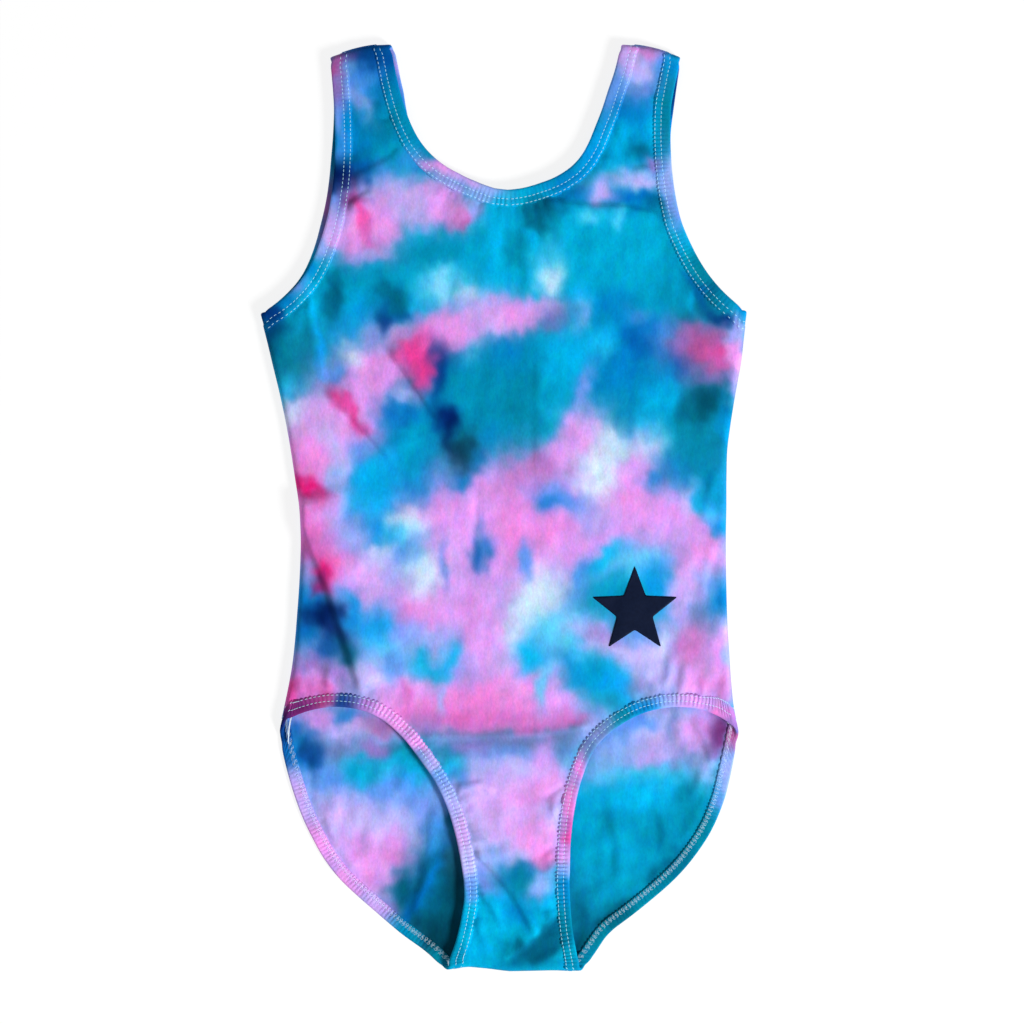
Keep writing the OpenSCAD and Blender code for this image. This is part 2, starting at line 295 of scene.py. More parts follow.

# Each pour, or patch of painted shade or highlight: x, y, half width, half height, turn in degrees, dye,
# strength
FRONT_POURS_AND_SHADE = [
    # the wide fields: turquoise chest and middle, pink left side, orchid waist
    (0, 150, 170, 50, 0, "sea", 1), (10, 62, 150, 50, 0, "turquoise", 0.9),
    (0, -20, 140, 42, 0, "orchid", 0.9), (0, -95, 150, 34, 0, "lavender", 0.9),
    (-108, 30, 28, 42, 0, "lavender", 1), (-50, 122, 60, 8, 0, "cyan", 0.7),
    # the left strap
    (-85, 238, 26, 46, 0, "ocean", 1), (-81, 271, 15, 9, -10, "navy", 0.9),
    (-74, 268, 6, 16, 0, "royal", 0.8), (-97, 271, 6, 4, 0, "plum", 0.5), (-98, 262, 6, 7, 0, "haze", 0.7),
    (-89, 257, 8, 7, 20, "cornflower", 0.9), (-95, 250, 6, 5, 0, "haze", 0.7),
    (-89, 243, 7, 5, -35, "haze", 0.9), (-85, 236, 4, 7, 20, "haze", 0.6),
    (-96, 225, 8, 14, 0, "azure", 0.9), (-76, 228, 11, 14, 0, "teal", 0.7),
    (-70, 243, 6, 12, 0, "turquoise", 0.6), (-84, 210, 18, 5, 25, "teal", 0.8),
    (-95, 195, 9, 12, -10, "ink", 0.95), (-86, 204, 7, 6, 0, "royal", 0.8),
    (-68, 210, 9, 7, 20, "sea", 0.8), (-56, 206, 8, 6, 0, "cornflower", 0.5),
    (-74, 203, 5, 6, 0, "cornflower", 0.6),
    # the pink band below the left strap
    (-79, 191, 13, 6, 15, "haze", 0.9), (-62, 188, 12, 8, 0, "lilac", 0.9),
    (-86, 171, 17, 15, 0, "rose", 1), (-94, 160, 11, 10, 0, "rose", 0.9),
    (-42, 181, 18, 10, -5, "rose", 0.95), (-62, 178, 9, 6, 0, "haze", 0.7),
    (-31, 178, 12, 9, 0, "orchid", 0.8), (-52, 190, 10, 6, 15, "lavender", 0.8),
    (-29, 170, 6, 4, 30, "berry", 0.7), (-26, 177, 4, 5, 0, "berry", 0.4), (-17, 182, 4, 7, 0, "haze", 0.7),
    (-41, 188, 3, 3, 0, "mauve", 0.5), (-88, 177, 2.6, 10, 15, "hot", 0.6),
    (-82, 162, 2.6, 10, 15, "fuchsia", 0.6), (-93, 183, 7, 2.4, 25, "plum", 0.6),
    (-103, 164, 4, 8, 0, "haze", 0.7), (-86, 150, 14, 4, -8, "periwinkle", 0.8),
    (-71, 160, 5, 9, 0, "lavender", 0.6),
    # the turquoise chest, under the left arm
    (-48, 153, 30, 9, 5, "turquoise", 0.8), (-97, 138, 9, 9, 0, "turquoise", 0.6),
    (-105, 124, 4, 13, 0, "deep teal", 0.8), (-73, 127, 12, 9, 0, "deep teal", 0.7),
    (-72, 110, 5, 8, 0, "royal", 0.8), (-88, 116, 9, 10, 0, "azure", 0.6),
    # painted highlight: the cyan streak at (-120, 130) and the azure one at (-113, 94) light the fold under
    # the left arm
    (-120, 130, 4, 14, 25, "cyan", 0.8), (-143, 110, 6, 14, 8, "navy", 0.95),
    (-138, 96, 6, 12, 10, "deep teal", 0.8), (-127, 87, 13, 16, 8, "teal", 0.8),
    (-132, 70, 10, 7, 15, "sea", 0.7), (-113, 94, 2, 17, 6, "azure", 0.8),
    (-98, 102, 9, 9, 0, "azure", 0.5),
    # pale spots on the chest, and painted highlights and shade on the gathers below the neck
    (-42, 136, 10, 7, 0, "aqua", 0.9), (-30, 132, 14, 8, 0, "aqua", 0.7), (-40, 130, 4, 9, 0, "ice", 0.7),
    (-24, 127, 7, 5, 0, "ice", 0.7), (25, 145, 8, 13, 0, "aqua", 0.9), (26, 136, 6, 8, 0, "ice", 0.9),
    # painted highlights: the narrow cyan streaks at (-8, 160) and (4, 172); painted shade: the teal and deep
    # teal beside them
    (-8, 160, 5, 22, -8, "cyan", 0.9), (4, 172, 3, 14, 10, "cyan", 0.9), (16, 172, 8, 11, 30, "teal", 0.9),
    (4, 150, 4, 12, 20, "teal", 0.5), (25, 181, 9, 4, -20, "deep teal", 0.6),
    (60, 155, 30, 14, 0, "sea", 0.6), (46, 128, 7, 9, 0, "cyan", 0.7), (-5, 135, 9, 8, 0, "cyan", 0.7),
    # the right strap and the crease across it
    (80, 230, 24, 26, 0, "azure", 0.7), (80, 273, 16, 4.5, -5, "pink", 0.95),
    (76, 265, 9, 8, 0, "lavender", 0.9), (81, 261, 9, 7, 0, "lilac", 0.9),
    (93, 262, 6, 12, 10, "cornflower", 0.8), (79, 250, 11, 7, 0, "periwinkle", 0.9),
    (72, 240, 9, 7, 0, "blue", 0.6), (88, 228, 4, 14, -8, "cyan", 0.9), (68, 218, 9, 10, 20, "cyan", 0.8),
    (79, 214, 9, 5, 25, "deep teal", 0.8), (62, 204, 12, 5, 20, "cyan", 0.7),
    (42, 189, 15, 6, 12, "ocean", 0.9), (76, 185, 22, 6, -3, "blue", 0.95),
    (55, 191, 9, 8, 0, "haze", 0.95), (57, 188, 5, 5, 0, "lavender", 0.7),
    (80, 197, 15, 5.5, -4, "lilac", 0.95), (88, 207, 5, 5, 0, "mauve", 0.8),
    (91, 181, 6, 6, 0, "deep teal", 0.8), (50, 174, 7, 4, 0, "aqua", 0.8), (66, 174, 3, 5, 0, "aqua", 0.7),
    (100, 150, 4, 14, 5, "teal", 0.5), (100, 135, 2.5, 11, 0, "cyan", 0.7),
    (117, 127, 13, 6, -38, "deep teal", 0.8), (93, 128, 8, 12, 0, "turquoise", 0.7),
    (62, 121, 14, 9, 0, "ocean", 0.7), (78, 114, 6, 5, 0, "periwinkle", 0.6),
    (110, 120, 2.5, 9, 0, "cyan", 0.7), (115, 108, 14, 5, 0, "mauve", 0.5),
    # the pink bow, from the chest down to the left side
    (-118, 32, 16, 27, 0, "rose", 0.9), (-90, 57, 19, 22, 30, "rose", 0.95),
    (-81, 82, 16, 18, 0, "orchid", 0.95), (-83, 84, 9, 11, 0, "rose", 0.8),
    (-42, 106, 19, 10, 14, "rose", 0.95), (-66, 102, 8, 6, 25, "lilac", 0.7),
    (-12, 113, 20, 8, 6, "orchid", 0.95), (8, 117, 13, 8, 0, "pink", 0.7), (20, 114, 9, 8, 0, "mauve", 0.5),
    (31, 112, 9, 9, 0, "slate", 0.8), (44, 115, 4, 11, 0, "haze", 0.8), (-129, 55, 7, 8, 10, "ice", 0.8),
    (-104, 80, 7, 5, 20, "cornflower", 0.8), (-92, 91, 7, 8, 25, "ice", 0.7),
    (-81, 105, 6, 5, 0, "lilac", 0.7), (-55, 91, 12, 9, 25, "hot", 0.9), (-51, 79, 6, 12, -14, "hot", 0.85),
    (-62, 86, 6, 6, 0, "fuchsia", 0.6), (-49, 100, 8, 6, 0, "fuchsia", 0.6),
    (-95, 56, 15, 3.4, -47, "hot", 0.95), (-101, 64, 6, 4, -25, "fuchsia", 0.8),
    (-118, 35, 9, 12, 0, "pink", 0.6), (-125, 24, 6, 12, 10, "pink", 0.8),
    (-119, 13, 10, 4.5, -25, "red", 0.95), (-113, 8, 7, 5, -10, "hot", 0.7),
    (-120, -10, 10, 14, 0, "pink", 0.9), (-100, 24, 5, 18, 5, "lilac", 0.9),
    (-98, -4, 5, 10, 0, "haze", 0.9), (-20, 92, 6, 8, 0, "aqua", 0.8), (-104, 42, 9, 13, 10, "rose", 0.7),
    # the blue heart of the front
    (-58, 36, 17, 27, -14, "ocean", 1), (-8, 62, 32, 38, 0, "turquoise", 1),
    (-56, 42, 10, 15, -20, "turquoise", 0.7), (-66, 57, 10, 8, 20, "blue", 0.8),
    (-41, 84, 5, 16, -6, "royal", 0.9), (-36, 92, 7, 8, 0, "royal", 0.6), (-38, 52, 7, 8, 0, "navy", 0.95),
    (-27, 32, 9, 13, 0, "deep teal", 0.95), (-34, 38, 4, 12, 20, "ink", 0.5),
    (-14, 70, 7, 25, 0, "turquoise", 0.6), (4, 94, 14, 10, 0, "ocean", 0.8),
    (14, 72, 7, 26, 0, "teal", 0.8), (0, 62, 10, 14, 0, "teal", 0.4), (38, 88, 16, 22, 10, "cyan", 0.9),
    (28, 62, 9, 20, -10, "sea", 0.8), (-80, 16, 16, 15, 0, "azure", 1), (-81, 23, 11, 9, 0, "cyan", 0.7),
    (-77, -2, 11, 9, 0, "azure", 0.9), (-50, 8, 11, 10, 0, "ocean", 0.8),
    (-90, 34, 5, 7, 0, "cornflower", 0.6), (-62, -7, 13, 6, 10, "ice", 0.9),
    (70, 76, 19, 24, 0, "ocean", 0.9), (80, 103, 16, 9, 0, "blue", 0.9),
    (93, 98, 7, 10, 0, "periwinkle", 0.7), (67, 60, 12, 12, 0, "turquoise", 0.6),
    (46, 71, 4, 13, -12, "periwinkle", 0.9), (98, 66, 4.5, 19, 5, "cyan", 0.9),
    (84, 52, 6, 14, 10, "sea", 0.8), (88, 42, 8, 8, 0, "aqua", 0.9), (57, 98, 5, 7, 0, "aqua", 0.4),
    # the red patch at the right side
    (119, 92, 15, 15, 0, "berry", 0.95), (125, 93, 8, 9, 0, "fuchsia", 0.8), (129, 93, 4, 6, 0, "hot", 0.5),
    (137, 91, 4.5, 15, 0, "rose", 0.95), (105, 94, 6, 13, 0, "mauve", 0.6),
    (136, 106, 5, 6, 0, "haze", 0.9), (119, 77, 12, 4, 0, "mauve", 0.7),
    (136, 72, 3, 8, 0, "lavender", 0.7), (120, 63, 13, 11, 0, "deep teal", 0.8),
    (109, 33, 13, 22, 8, "teal", 0.9), (121, 38, 10, 16, 0, "teal", 0.6),
    (125, 5, 8, 18, 10, "azure", 0.95), (131, 45, 4, 16, 0, "azure", 0.7),
    (100, 20, 8, 10, 0, "ocean", 0.7),
    # the lilac field across the waist
    (12, -16, 60, 27, 0, "orchid", 0.95), (-14, 8, 16, 18, 20, "orchid", 0.95),
    (10, 18, 14, 14, 0, "pink", 0.7), (60, 5, 26, 18, 0, "orchid", 0.9),
    (45, 44, 12, 13, -20, "lavender", 0.95), (33, 31, 10, 9, 0, "orchid", 0.9),
    (76, 22, 9, 19, -12, "orchid", 0.95), (98, -4, 20, 11, 0, "orchid", 0.95),
    (110, 3, 5, 9, 0, "lilac", 0.8), (55, 30, 11, 17, -10, "ice", 1), (54, 14, 8, 12, 0, "ice", 0.9),
    (66, 37, 7, 7, 0, "ice", 0.6), (82, 36, 8, 6, 0, "ice", 0.5), (87, 16, 6, 6, 0, "ocean", 0.7),
    (29, 5, 14, 8, -18, "cornflower", 0.95), (24, 1, 5, 5, 0, "blue", 0.6),
    (42, 1, 7, 6, 0, "periwinkle", 0.7), (22, 25, 7, 5, 0, "fuchsia", 0.4), (4, -14, 8, 13, 0, "pink", 0.7),
    (25, -14, 12, 7, 0, "pink", 0.6), (75, 3, 12, 9, 0, "rose", 0.6), (-35, 1, 14, 8, 15, "orchid", 0.9),
    (-46, -8, 8, 6, 0, "rose", 0.7), (52, -8, 11, 8, 0, "haze", 0.5),
    # below the crease at the left side
    (-118, -56, 12, 11, 0, "ocean", 0.95), (-107, -65, 13, 8, 0, "navy", 0.95),
    (-102, -76, 8, 9, 30, "ink", 0.8), (-122, -75, 7, 8, 0, "blue", 0.9),
    # painted shadow: the deep teal at (-95, -90) darkens the cloth beside the crease at the left side
    (-109, -85, 9, 7, 0, "royal", 0.8), (-95, -90, 5, 9, 25, "deep teal", 0.95),
    (-119, -96, 13, 7, 0, "mauve", 0.9), (-114, -106, 15, 6, 0, "orchid", 0.9),
    (-100, -103, 7, 8, 0, "mauve", 0.7), (-131, -113, 5, 11, 0, "hot", 0.95),
    (-113, -108, 5, 4, 0, "fuchsia", 0.5), (-119, -22, 7, 16, 15, "fuchsia", 0.6),
    (-105, -36, 8, 12, 25, "hot", 0.9), (-111, -41, 4, 9, 25, "red", 0.8),
    (-98, -26, 9, 11, 0, "pink", 0.8), (-113, -47, 4, 4, 20, "plum", 0.7),
    # the left of the waist, with its streaks
    (-78, -18, 16, 9, 0, "ocean", 0.9), (-72, -14, 16, 6, 0, "azure", 0.8),
    (-58, -29, 9, 8, 20, "ocean", 0.9), (-88, -44, 13, 16, 0, "rose", 0.95),
    (-79, -34, 10, 9, 0, "lilac", 0.8), (-50, -40, 9, 16, 10, "ice", 0.8), (-66, -42, 8, 8, 0, "haze", 0.8),
    (-38, -40, 2, 15, 5, "cornflower", 0.8), (-32, -33, 5, 14, 0, "lavender", 0.7),
    (-16, -28, 5, 10, -5, "blue", 0.85), (-17, -14, 3, 8, 0, "periwinkle", 0.6),
    (10, -32, 4, 11, 0, "periwinkle", 0.8), (-94, -60, 6, 13, 15, "azure", 0.9),
    (-58, -60, 20, 11, 0, "orchid", 0.95), (-55, -63, 11, 7, 0, "pink", 0.6),
    (-24, -60, 18, 15, 0, "orchid", 0.95), (-78, -73, 12, 13, 10, "azure", 0.9),
    (-72, -87, 11, 10, 0, "aqua", 0.7), (-60, -76, 10, 6, 0, "periwinkle", 0.8),
    (-42, -80, 12, 7, 0, "haze", 0.9), (-84, -101, 8, 8, 0, "lilac", 0.9),
    (-14, -82, 15, 13, 0, "orchid", 0.9), (-68, -97, 8, 9, 0, "cornflower", 0.8),
    (-52, -94, 6, 8, 0, "sea", 0.9), (-43, -100, 11, 6, 0, "sea", 0.95),
    (-35, -92, 5, 10, -20, "cyan", 0.9), (-27, -99, 8, 7, 0, "periwinkle", 0.7),
    (-4, -96, 7, 9, 0, "lilac", 0.7), (-46, -110, 9, 4, 0, "haze", 0.6),
    # the magenta band above the gusset
    (-64, -116, 16, 12, 0, "rose", 0.9), (-44, -122, 22, 9, 0, "pink", 0.8),
    (-16, -115, 20, 13, 0, "pink", 0.95), (-20, -129, 26, 7, 0, "fuchsia", 0.9),
    (-62, -112, 2.5, 9, 10, "fuchsia", 0.5), (-41, -115, 2.5, 9, 0, "haze", 0.8),
    (9, -107, 12, 10, 0, "rose", 0.95), (12, -120, 15, 7, 0, "pink", 0.8),
    (12, -130, 18, 5, 0, "fuchsia", 0.8), (33, -115, 10, 10, 0, "orchid", 0.95),
    (38, -128, 12, 5, 0, "fuchsia", 0.7), (-50, -132, 8, 5, -30, "mauve", 0.5),
    # the pale and azure patches beside the star
    (20, -50, 11, 14, -15, "ice", 0.95), (15, -64, 12, 12, 0, "ice", 0.9),
    (30, -70, 13, 8, 20, "aqua", 0.9), (4, -76, 6, 9, 0, "ice", 0.6), (14, -89, 9, 10, 0, "cyan", 0.95),
    (21, -108, 3, 11, -8, "aqua", 0.8), (53, -101, 28, 12, -38, "sea", 1),
    (40, -96, 13, 7, -38, "ocean", 0.5), (66, -108, 13, 7, -30, "azure", 0.8),
    (36, -82, 8, 5, -30, "aqua", 0.6), (60, -118, 13, 6, -20, "turquoise", 0.6),
    (40, -70, 9, 6, 0, "lilac", 0.6), (72, -50, 26, 17, 0, "sea", 0.95),
    (62, -56, 15, 10, 0, "turquoise", 0.9), (58, -31, 16, 4.5, 38, "cyan", 0.9),
    (76, -30, 13, 7, 15, "aqua", 0.7), (91, -48, 8, 13, 0, "azure", 0.8),
    (45, -40, 4, 12, -15, "cornflower", 0.6), (70, -84, 20, 6, -18, "lilac", 0.9),
    (58, -77, 10, 4, -15, "mauve", 0.5), (80, -76, 12, 5, -10, "cornflower", 0.7),
    (91, -87, 11, 9, 0, "lilac", 0.95), (95, -80, 4, 8, 0, "ice", 0.6), (84, -104, 9, 8, 0, "lilac", 0.8),
    (82, -110, 7, 6, 0, "slate", 0.5), (100, -98, 5, 14, 8, "haze", 0.8), (100, -64, 5, 18, 5, "haze", 0.8),
    # the right hip
    (112, -30, 9, 20, -8, "orchid", 0.95), (122, -26, 8, 11, 0, "rose", 0.9),
    (127, -11, 6, 5, 0, "azure", 0.8), (106, -48, 5, 15, -8, "lavender", 0.9),
    (119, -44, 6, 8, 0, "haze", 0.8), (128, -55, 7, 9, 0, "ocean", 0.95), (116, -65, 7, 7, 0, "slate", 0.5),
    (110, -84, 9, 14, 5, "berry", 0.5), (112, -82, 7, 11, 5, "pink", 0.5),
    (127, -88, 8, 14, 0, "orchid", 0.95), (112, -106, 11, 9, 0, "rose", 0.95),
    (128, -108, 8, 9, 0, "pink", 0.7), (134, -92, 3, 15, 0, "haze", 0.9),
    (131, -75, 4, 7, 0, "lavender", 0.8),
    # the strip between the legs
    (0, -180, 44, 34, 0, "lavender", 1), (2, -141, 34, 5, 0, "slate", 0.85),
    (0, -147, 26, 4, 0, "cornflower", 0.6), (30, -137, 16, 4, 12, "slate", 0.8),
    (-26, -145, 12, 4, 0, "mauve", 0.8), (52, -134, 9, 5, 30, "haze", 0.8),
    (-32, -156, 9, 6, 0, "sea", 0.95), (-34, -147, 9, 4, 0, "turquoise", 0.5),
    (-14, -158, 12, 7, 0, "haze", 0.8), (8, -155, 12, 6, 0, "lilac", 0.8),
    (22, -150, 6, 9, 0, "orchid", 0.8), (26, -168, 8, 9, 0, "rose", 0.8),
    (-3, -176, 14, 10, 0, "rose", 0.7), (12, -172, 9, 8, 0, "pink", 0.5),
    (-14, -188, 10, 8, 0, "lilac", 0.7), (4, -197, 10, 7, 0, "lilac", 0.6),
    (18, -202, 12, 9, 0, "rose", 0.8), (22, -213, 7, 5, 20, "berry", 0.5),
    (-17, -220, 8, 6, 0, "periwinkle", 0.9), (5, -254, 42, 24, 0, "sea", 1),
    (7, -222, 10, 10, 0, "blue", 0.9), (21, -226, 7, 5, 20, "haze", 0.8),
    (-10, -240, 8, 10, 30, "cyan", 0.9), (24, -240, 5, 9, 0, "cyan", 0.9),
    # painted shade: the deep teal at (18, -262) darkens the hollow of the crotch fold; the cyan streak at
    # (12, -252) is a painted highlight on its upper side
    (2, -244, 5, 10, 35, "ocean", 0.6), (18, -262, 16, 7, 28, "deep teal", 0.9),
    (12, -252, 9, 3, 30, "cyan", 0.6), (35, -246, 6, 13, 0, "teal", 0.8),
    (-18, -264, 10, 8, 0, "cyan", 0.6), (30, -273, 10, 4, 0, "turquoise", 0.7),
    (-18, -252, 5, 8, 20, "ocean", 0.5),
    # the last drops, on the left chest
    (-56, 178, 12, 9, 0, "lilac", 0.8), (-42, 180, 9, 10, 0, "orchid", 0.8),
    (-77, 170, 11, 14, 0, "rose", 0.9), (-97, 161, 8, 8, 0, "rose", 0.8),
    (-87, 173, 3, 12, 15, "hot", 0.55), (-80, 163, 2.4, 9, 15, "fuchsia", 0.5),
    (-80, 151, 9, 4, 0, "lavender", 0.6), (-81, 106, 4, 7, 0, "periwinkle", 0.7),
    (-74, 110, 3, 8, 0, "navy", 0.7), (-62, 116, 7, 4, 0, "royal", 0.8),
    (-67, 123, 7, 7, 0, "deep teal", 0.7), (-105, 126, 4, 11, 0, "deep teal", 0.5),
    (-43, 131, 10, 7, 0, "aqua", 0.6), (-32, 108, 17, 11, 10, "orchid", 0.95),
    (-36, 106, 11, 8, 0, "rose", 0.8), (-9, 116, 14, 11, 0, "lavender", 0.9),
    (-4, 108, 8, 5, 0, "lilac", 0.7), (-56, 93, 10, 9, 20, "hot", 0.95), (-50, 84, 6, 13, -10, "hot", 0.95),
    (-47, 99, 7, 7, 0, "fuchsia", 0.7), (-41, 83, 4.5, 14, 0, "navy", 0.7),
    (-100, 64, 7, 4, -40, "hot", 0.7), (-72, 79, 6, 8, -30, "orchid", 0.9),
    (-61, 68, 6, 3.5, -40, "lilac", 0.7),
    # on the right chest
    (4, 115, 12, 9, 0, "rose", 0.9), (22, 121, 11, 6, 0, "lavender", 0.7), (27, 112, 6, 6, 0, "mauve", 0.5),
    # painted shade and highlight on the neck gathers: deep teal at (20, 175), teal at (7, 160), cyan streak
    # at (13, 160)
    (14, 137, 4, 8, 0, "cyan", 0.5), (20, 175, 9, 9, 30, "deep teal", 0.7), (7, 160, 5, 9, 20, "teal", 0.6),
    (13, 160, 2.5, 10, 25, "cyan", 0.7), (112, 99, 10, 10, 0, "berry", 0.6),
    (104, 97, 6, 10, 0, "mauve", 0.5), (101, 85, 7, 9, 0, "royal", 0.6), (80, 98, 14, 7, -20, "royal", 0.5),
    (60, 101, 8, 7, 0, "cyan", 0.6), (119, 62, 8, 9, 0, "black teal", 0.5),
    (88, 61, 9, 12, 10, "cyan", 0.5), (108, 116, 5, 6, 0, "deep teal", 0.6),
    (42, 128, 6, 6, 0, "cyan", 0.6),
    # on the heart and the left side
    (-117, 50, 13, 12, 0, "lavender", 0.6), (-107, 38, 5, 12, 8, "lilac", 0.8),
    (-101, 24, 4, 14, 5, "lilac", 0.7), (-81, 10, 11, 12, 0, "cyan", 0.7),
    (-57, 35, 9, 15, -14, "sea", 0.7), (-26, 31, 7, 10, 0, "black teal", 0.7),
    (-38, 54, 5, 7, 0, "ink", 0.8), (-28, 16, 6, 6, 0, "ocean", 0.8), (-19, 28, 5, 7, 0, "ocean", 0.6),
    (-10, 42, 8, 8, 0, "ocean", 0.5), (-62, -27, 9, 6, 15, "cornflower", 0.8),
    (-75, -28, 6, 6, 0, "ice", 0.5), (-52, -41, 8, 13, 10, "ice", 0.6), (-60, -10, 9, 7, 0, "ice", 0.8),
    (-92, -18, 8, 7, 0, "haze", 0.8), (-67, -16, 6, 7, 0, "aqua", 0.7), (-112, -65, 9, 6, 0, "ink", 0.8),
    (-82, -51, 8, 8, 0, "lavender", 0.8),
    # on the right waist
    (42, 43, 11, 9, -20, "orchid", 0.8), (122, 14, 8, 14, 10, "turquoise", 0.8),
    (116, 4, 4, 9, 25, "cyan", 0.8), (10, -32, 3.5, 8, 0, "cornflower", 0.7),
    (126, 114, 7, 3.5, -38, "navy", 0.8), (113, 131, 2.6, 12, 40, "royal", 0.6),
    (-123, -113, 8, 7, 0, "fuchsia", 0.8), (-111, -112, 4.5, 3.5, 0, "berry", 0.9),
    (-95, -108, 7, 5, 0, "slate", 0.5),
    # on the strip between the legs
    (-7, -168, 16, 12, 0, "lavender", 0.7), (-30, -163, 6, 5, 0, "cornflower", 0.6),
    (-5, -190, 13, 9, 0, "lavender", 0.9), (12, -197, 11, 8, 0, "rose", 0.8),
    (22, -209, 8, 7, 20, "pink", 0.8), (4, -208, 9, 5, 0, "lilac", 0.7),
    (-14, -214, 9, 6, -40, "haze", 0.9), (-14, -224, 5, 9, 35, "periwinkle", 0.9),
    (-22, -208, 5, 6, 0, "lilac", 0.8), (7, -225, 8, 10, 0, "teal", 0.95),
    (18, -229, 7, 6, 20, "haze", 0.8), (6, -241, 8, 6, 0, "ocean", 0.5),
    # painted shade in the hollow of the crotch fold: the deep teal at (20, -263) and (25, -256); the sea
    # streak at (8, -257) is a painted highlight
    (20, -263, 18, 7, 35, "deep teal", 0.95), (25, -256, 12, 7, 35, "deep teal", 0.7),
    (-12, -250, 10, 10, 0, "sea", 0.8), (8, -257, 10, 3, 35, "sea", 0.9),
]


def dyed_and_shaded(points, pours, seed=3):
    """The colour of the cloth at points in the plane, dye with some painted shade and highlights, as linear
    red, green and blue.
    """
    wander = np.stack([1.2 * cloud(points, 14, seed) + 0.7 * cloud(points, 6, seed + 1),
                       1.2 * cloud(points, 14, seed + 2) + 0.7 * cloud(points, 5, seed + 3)], 1)
    places = points[:, :2] + wander
    colour = np.tile(np.array(DYES["turquoise"], float), (len(points), 1))
    for x, y, wide, high, turn, dye_and_shade, strength in pours:
        c, s = math.cos(math.radians(turn)), math.sin(math.radians(turn))
        dx, dy = places[:, 0] - x, places[:, 1] - y
        across, up = (dx * c + dy * s) / wide, (dy * c - dx * s) / high
        share = strength * 0.5**((across**2 + up**2)**1.25 / 1.1)
        colour += share[:, None] * (np.array(DYES[dye_and_shade]) - colour)
    colour *= (1 + 0.02 * cloud(points * [1, 0.6], 7, seed + 6))[:, None]
    light = np.clip(colour / 255, 0, 1)
    return np.where(light < 0.04045, light / 12.92, ((light + 0.055) / 1.055)**2.4)


def add_dye_and_shade(piece, colour):
    """Stores the dye and painted shade on a piece, one colour for each of its points."""
    layer = piece.data.color_attributes.new("dye_and_shade", "FLOAT_COLOR", "POINT")
    layer.data.foreach_set("color", np.c_[colour, np.ones(len(colour))].astype(np.float32).ravel())


def new_piece(name, points, faces, material, slot, smooth=True):
    """A mesh object from points in millimetres, with its material, riding on the garment."""
    mesh = bpy.data.meshes.new(name)
    mesh.from_pydata((np.asarray(points) / MM).tolist(), [], [list(f) for f in faces])
    piece = bpy.data.objects.new(name, mesh)
    scene.collection.objects.link(piece)
    mesh.materials.append(material)
    mesh.polygons.foreach_set("use_smooth", np.full(len(mesh.polygons), smooth))
    mesh.update()
    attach(piece, "root")
    return piece


def node(tree, kind, links=(), **values):
    """A shader node: values by input name with spaces as underscores, links as (input, socket)."""
    made = tree.nodes.new(kind)
    for key, value in values.items():
        name = key.replace("_", " ").capitalize() if not hasattr(made, key) else key
        if hasattr(made, key):
            setattr(made, key, value)
        else:
            made.inputs[name].default_value = value
    for name, socket in links:
        tree.links.new(socket, made.inputs[name])
    return made


def new_material(name):
    """A material with its node tree, its shader, and the place on the object that its patterns follow."""
    material = bpy.data.materials.new(name)
    material.use_nodes = True
    tree = material.node_tree
    return material, tree, tree.nodes["Principled BSDF"], node(tree, "ShaderNodeTexCoord").outputs["Object"]


def grain(tree, place, dark, pale, low=0.0, high=1.0, **pattern):
    """A fine grain between two tints: the noise, and the colour that it gives."""
    noise = node(tree, "ShaderNodeTexNoise", [("Vector", place)], **pattern)
    tint = node(tree, "ShaderNodeValToRGB", [("Fac", noise.outputs["Fac"])])
    for end, position, colour in zip(tint.color_ramp.elements, (low, high), (dark, pale)):
        end.position = position
        end.color = [*colour, 1]
    return noise, tint.outputs["Color"]


def relief(tree, shader, height, depth):
    """Shallow relief that follows a pattern."""
    bump = node(tree, "ShaderNodeBump", [("Height", height)])
    bump.inputs["Distance"].default_value = depth
    tree.links.new(bump.outputs["Normal"], shader.inputs["Normal"])


WALES, COURSES = 1150.0, 1500.0     # the pitch of the knit across and along the garment


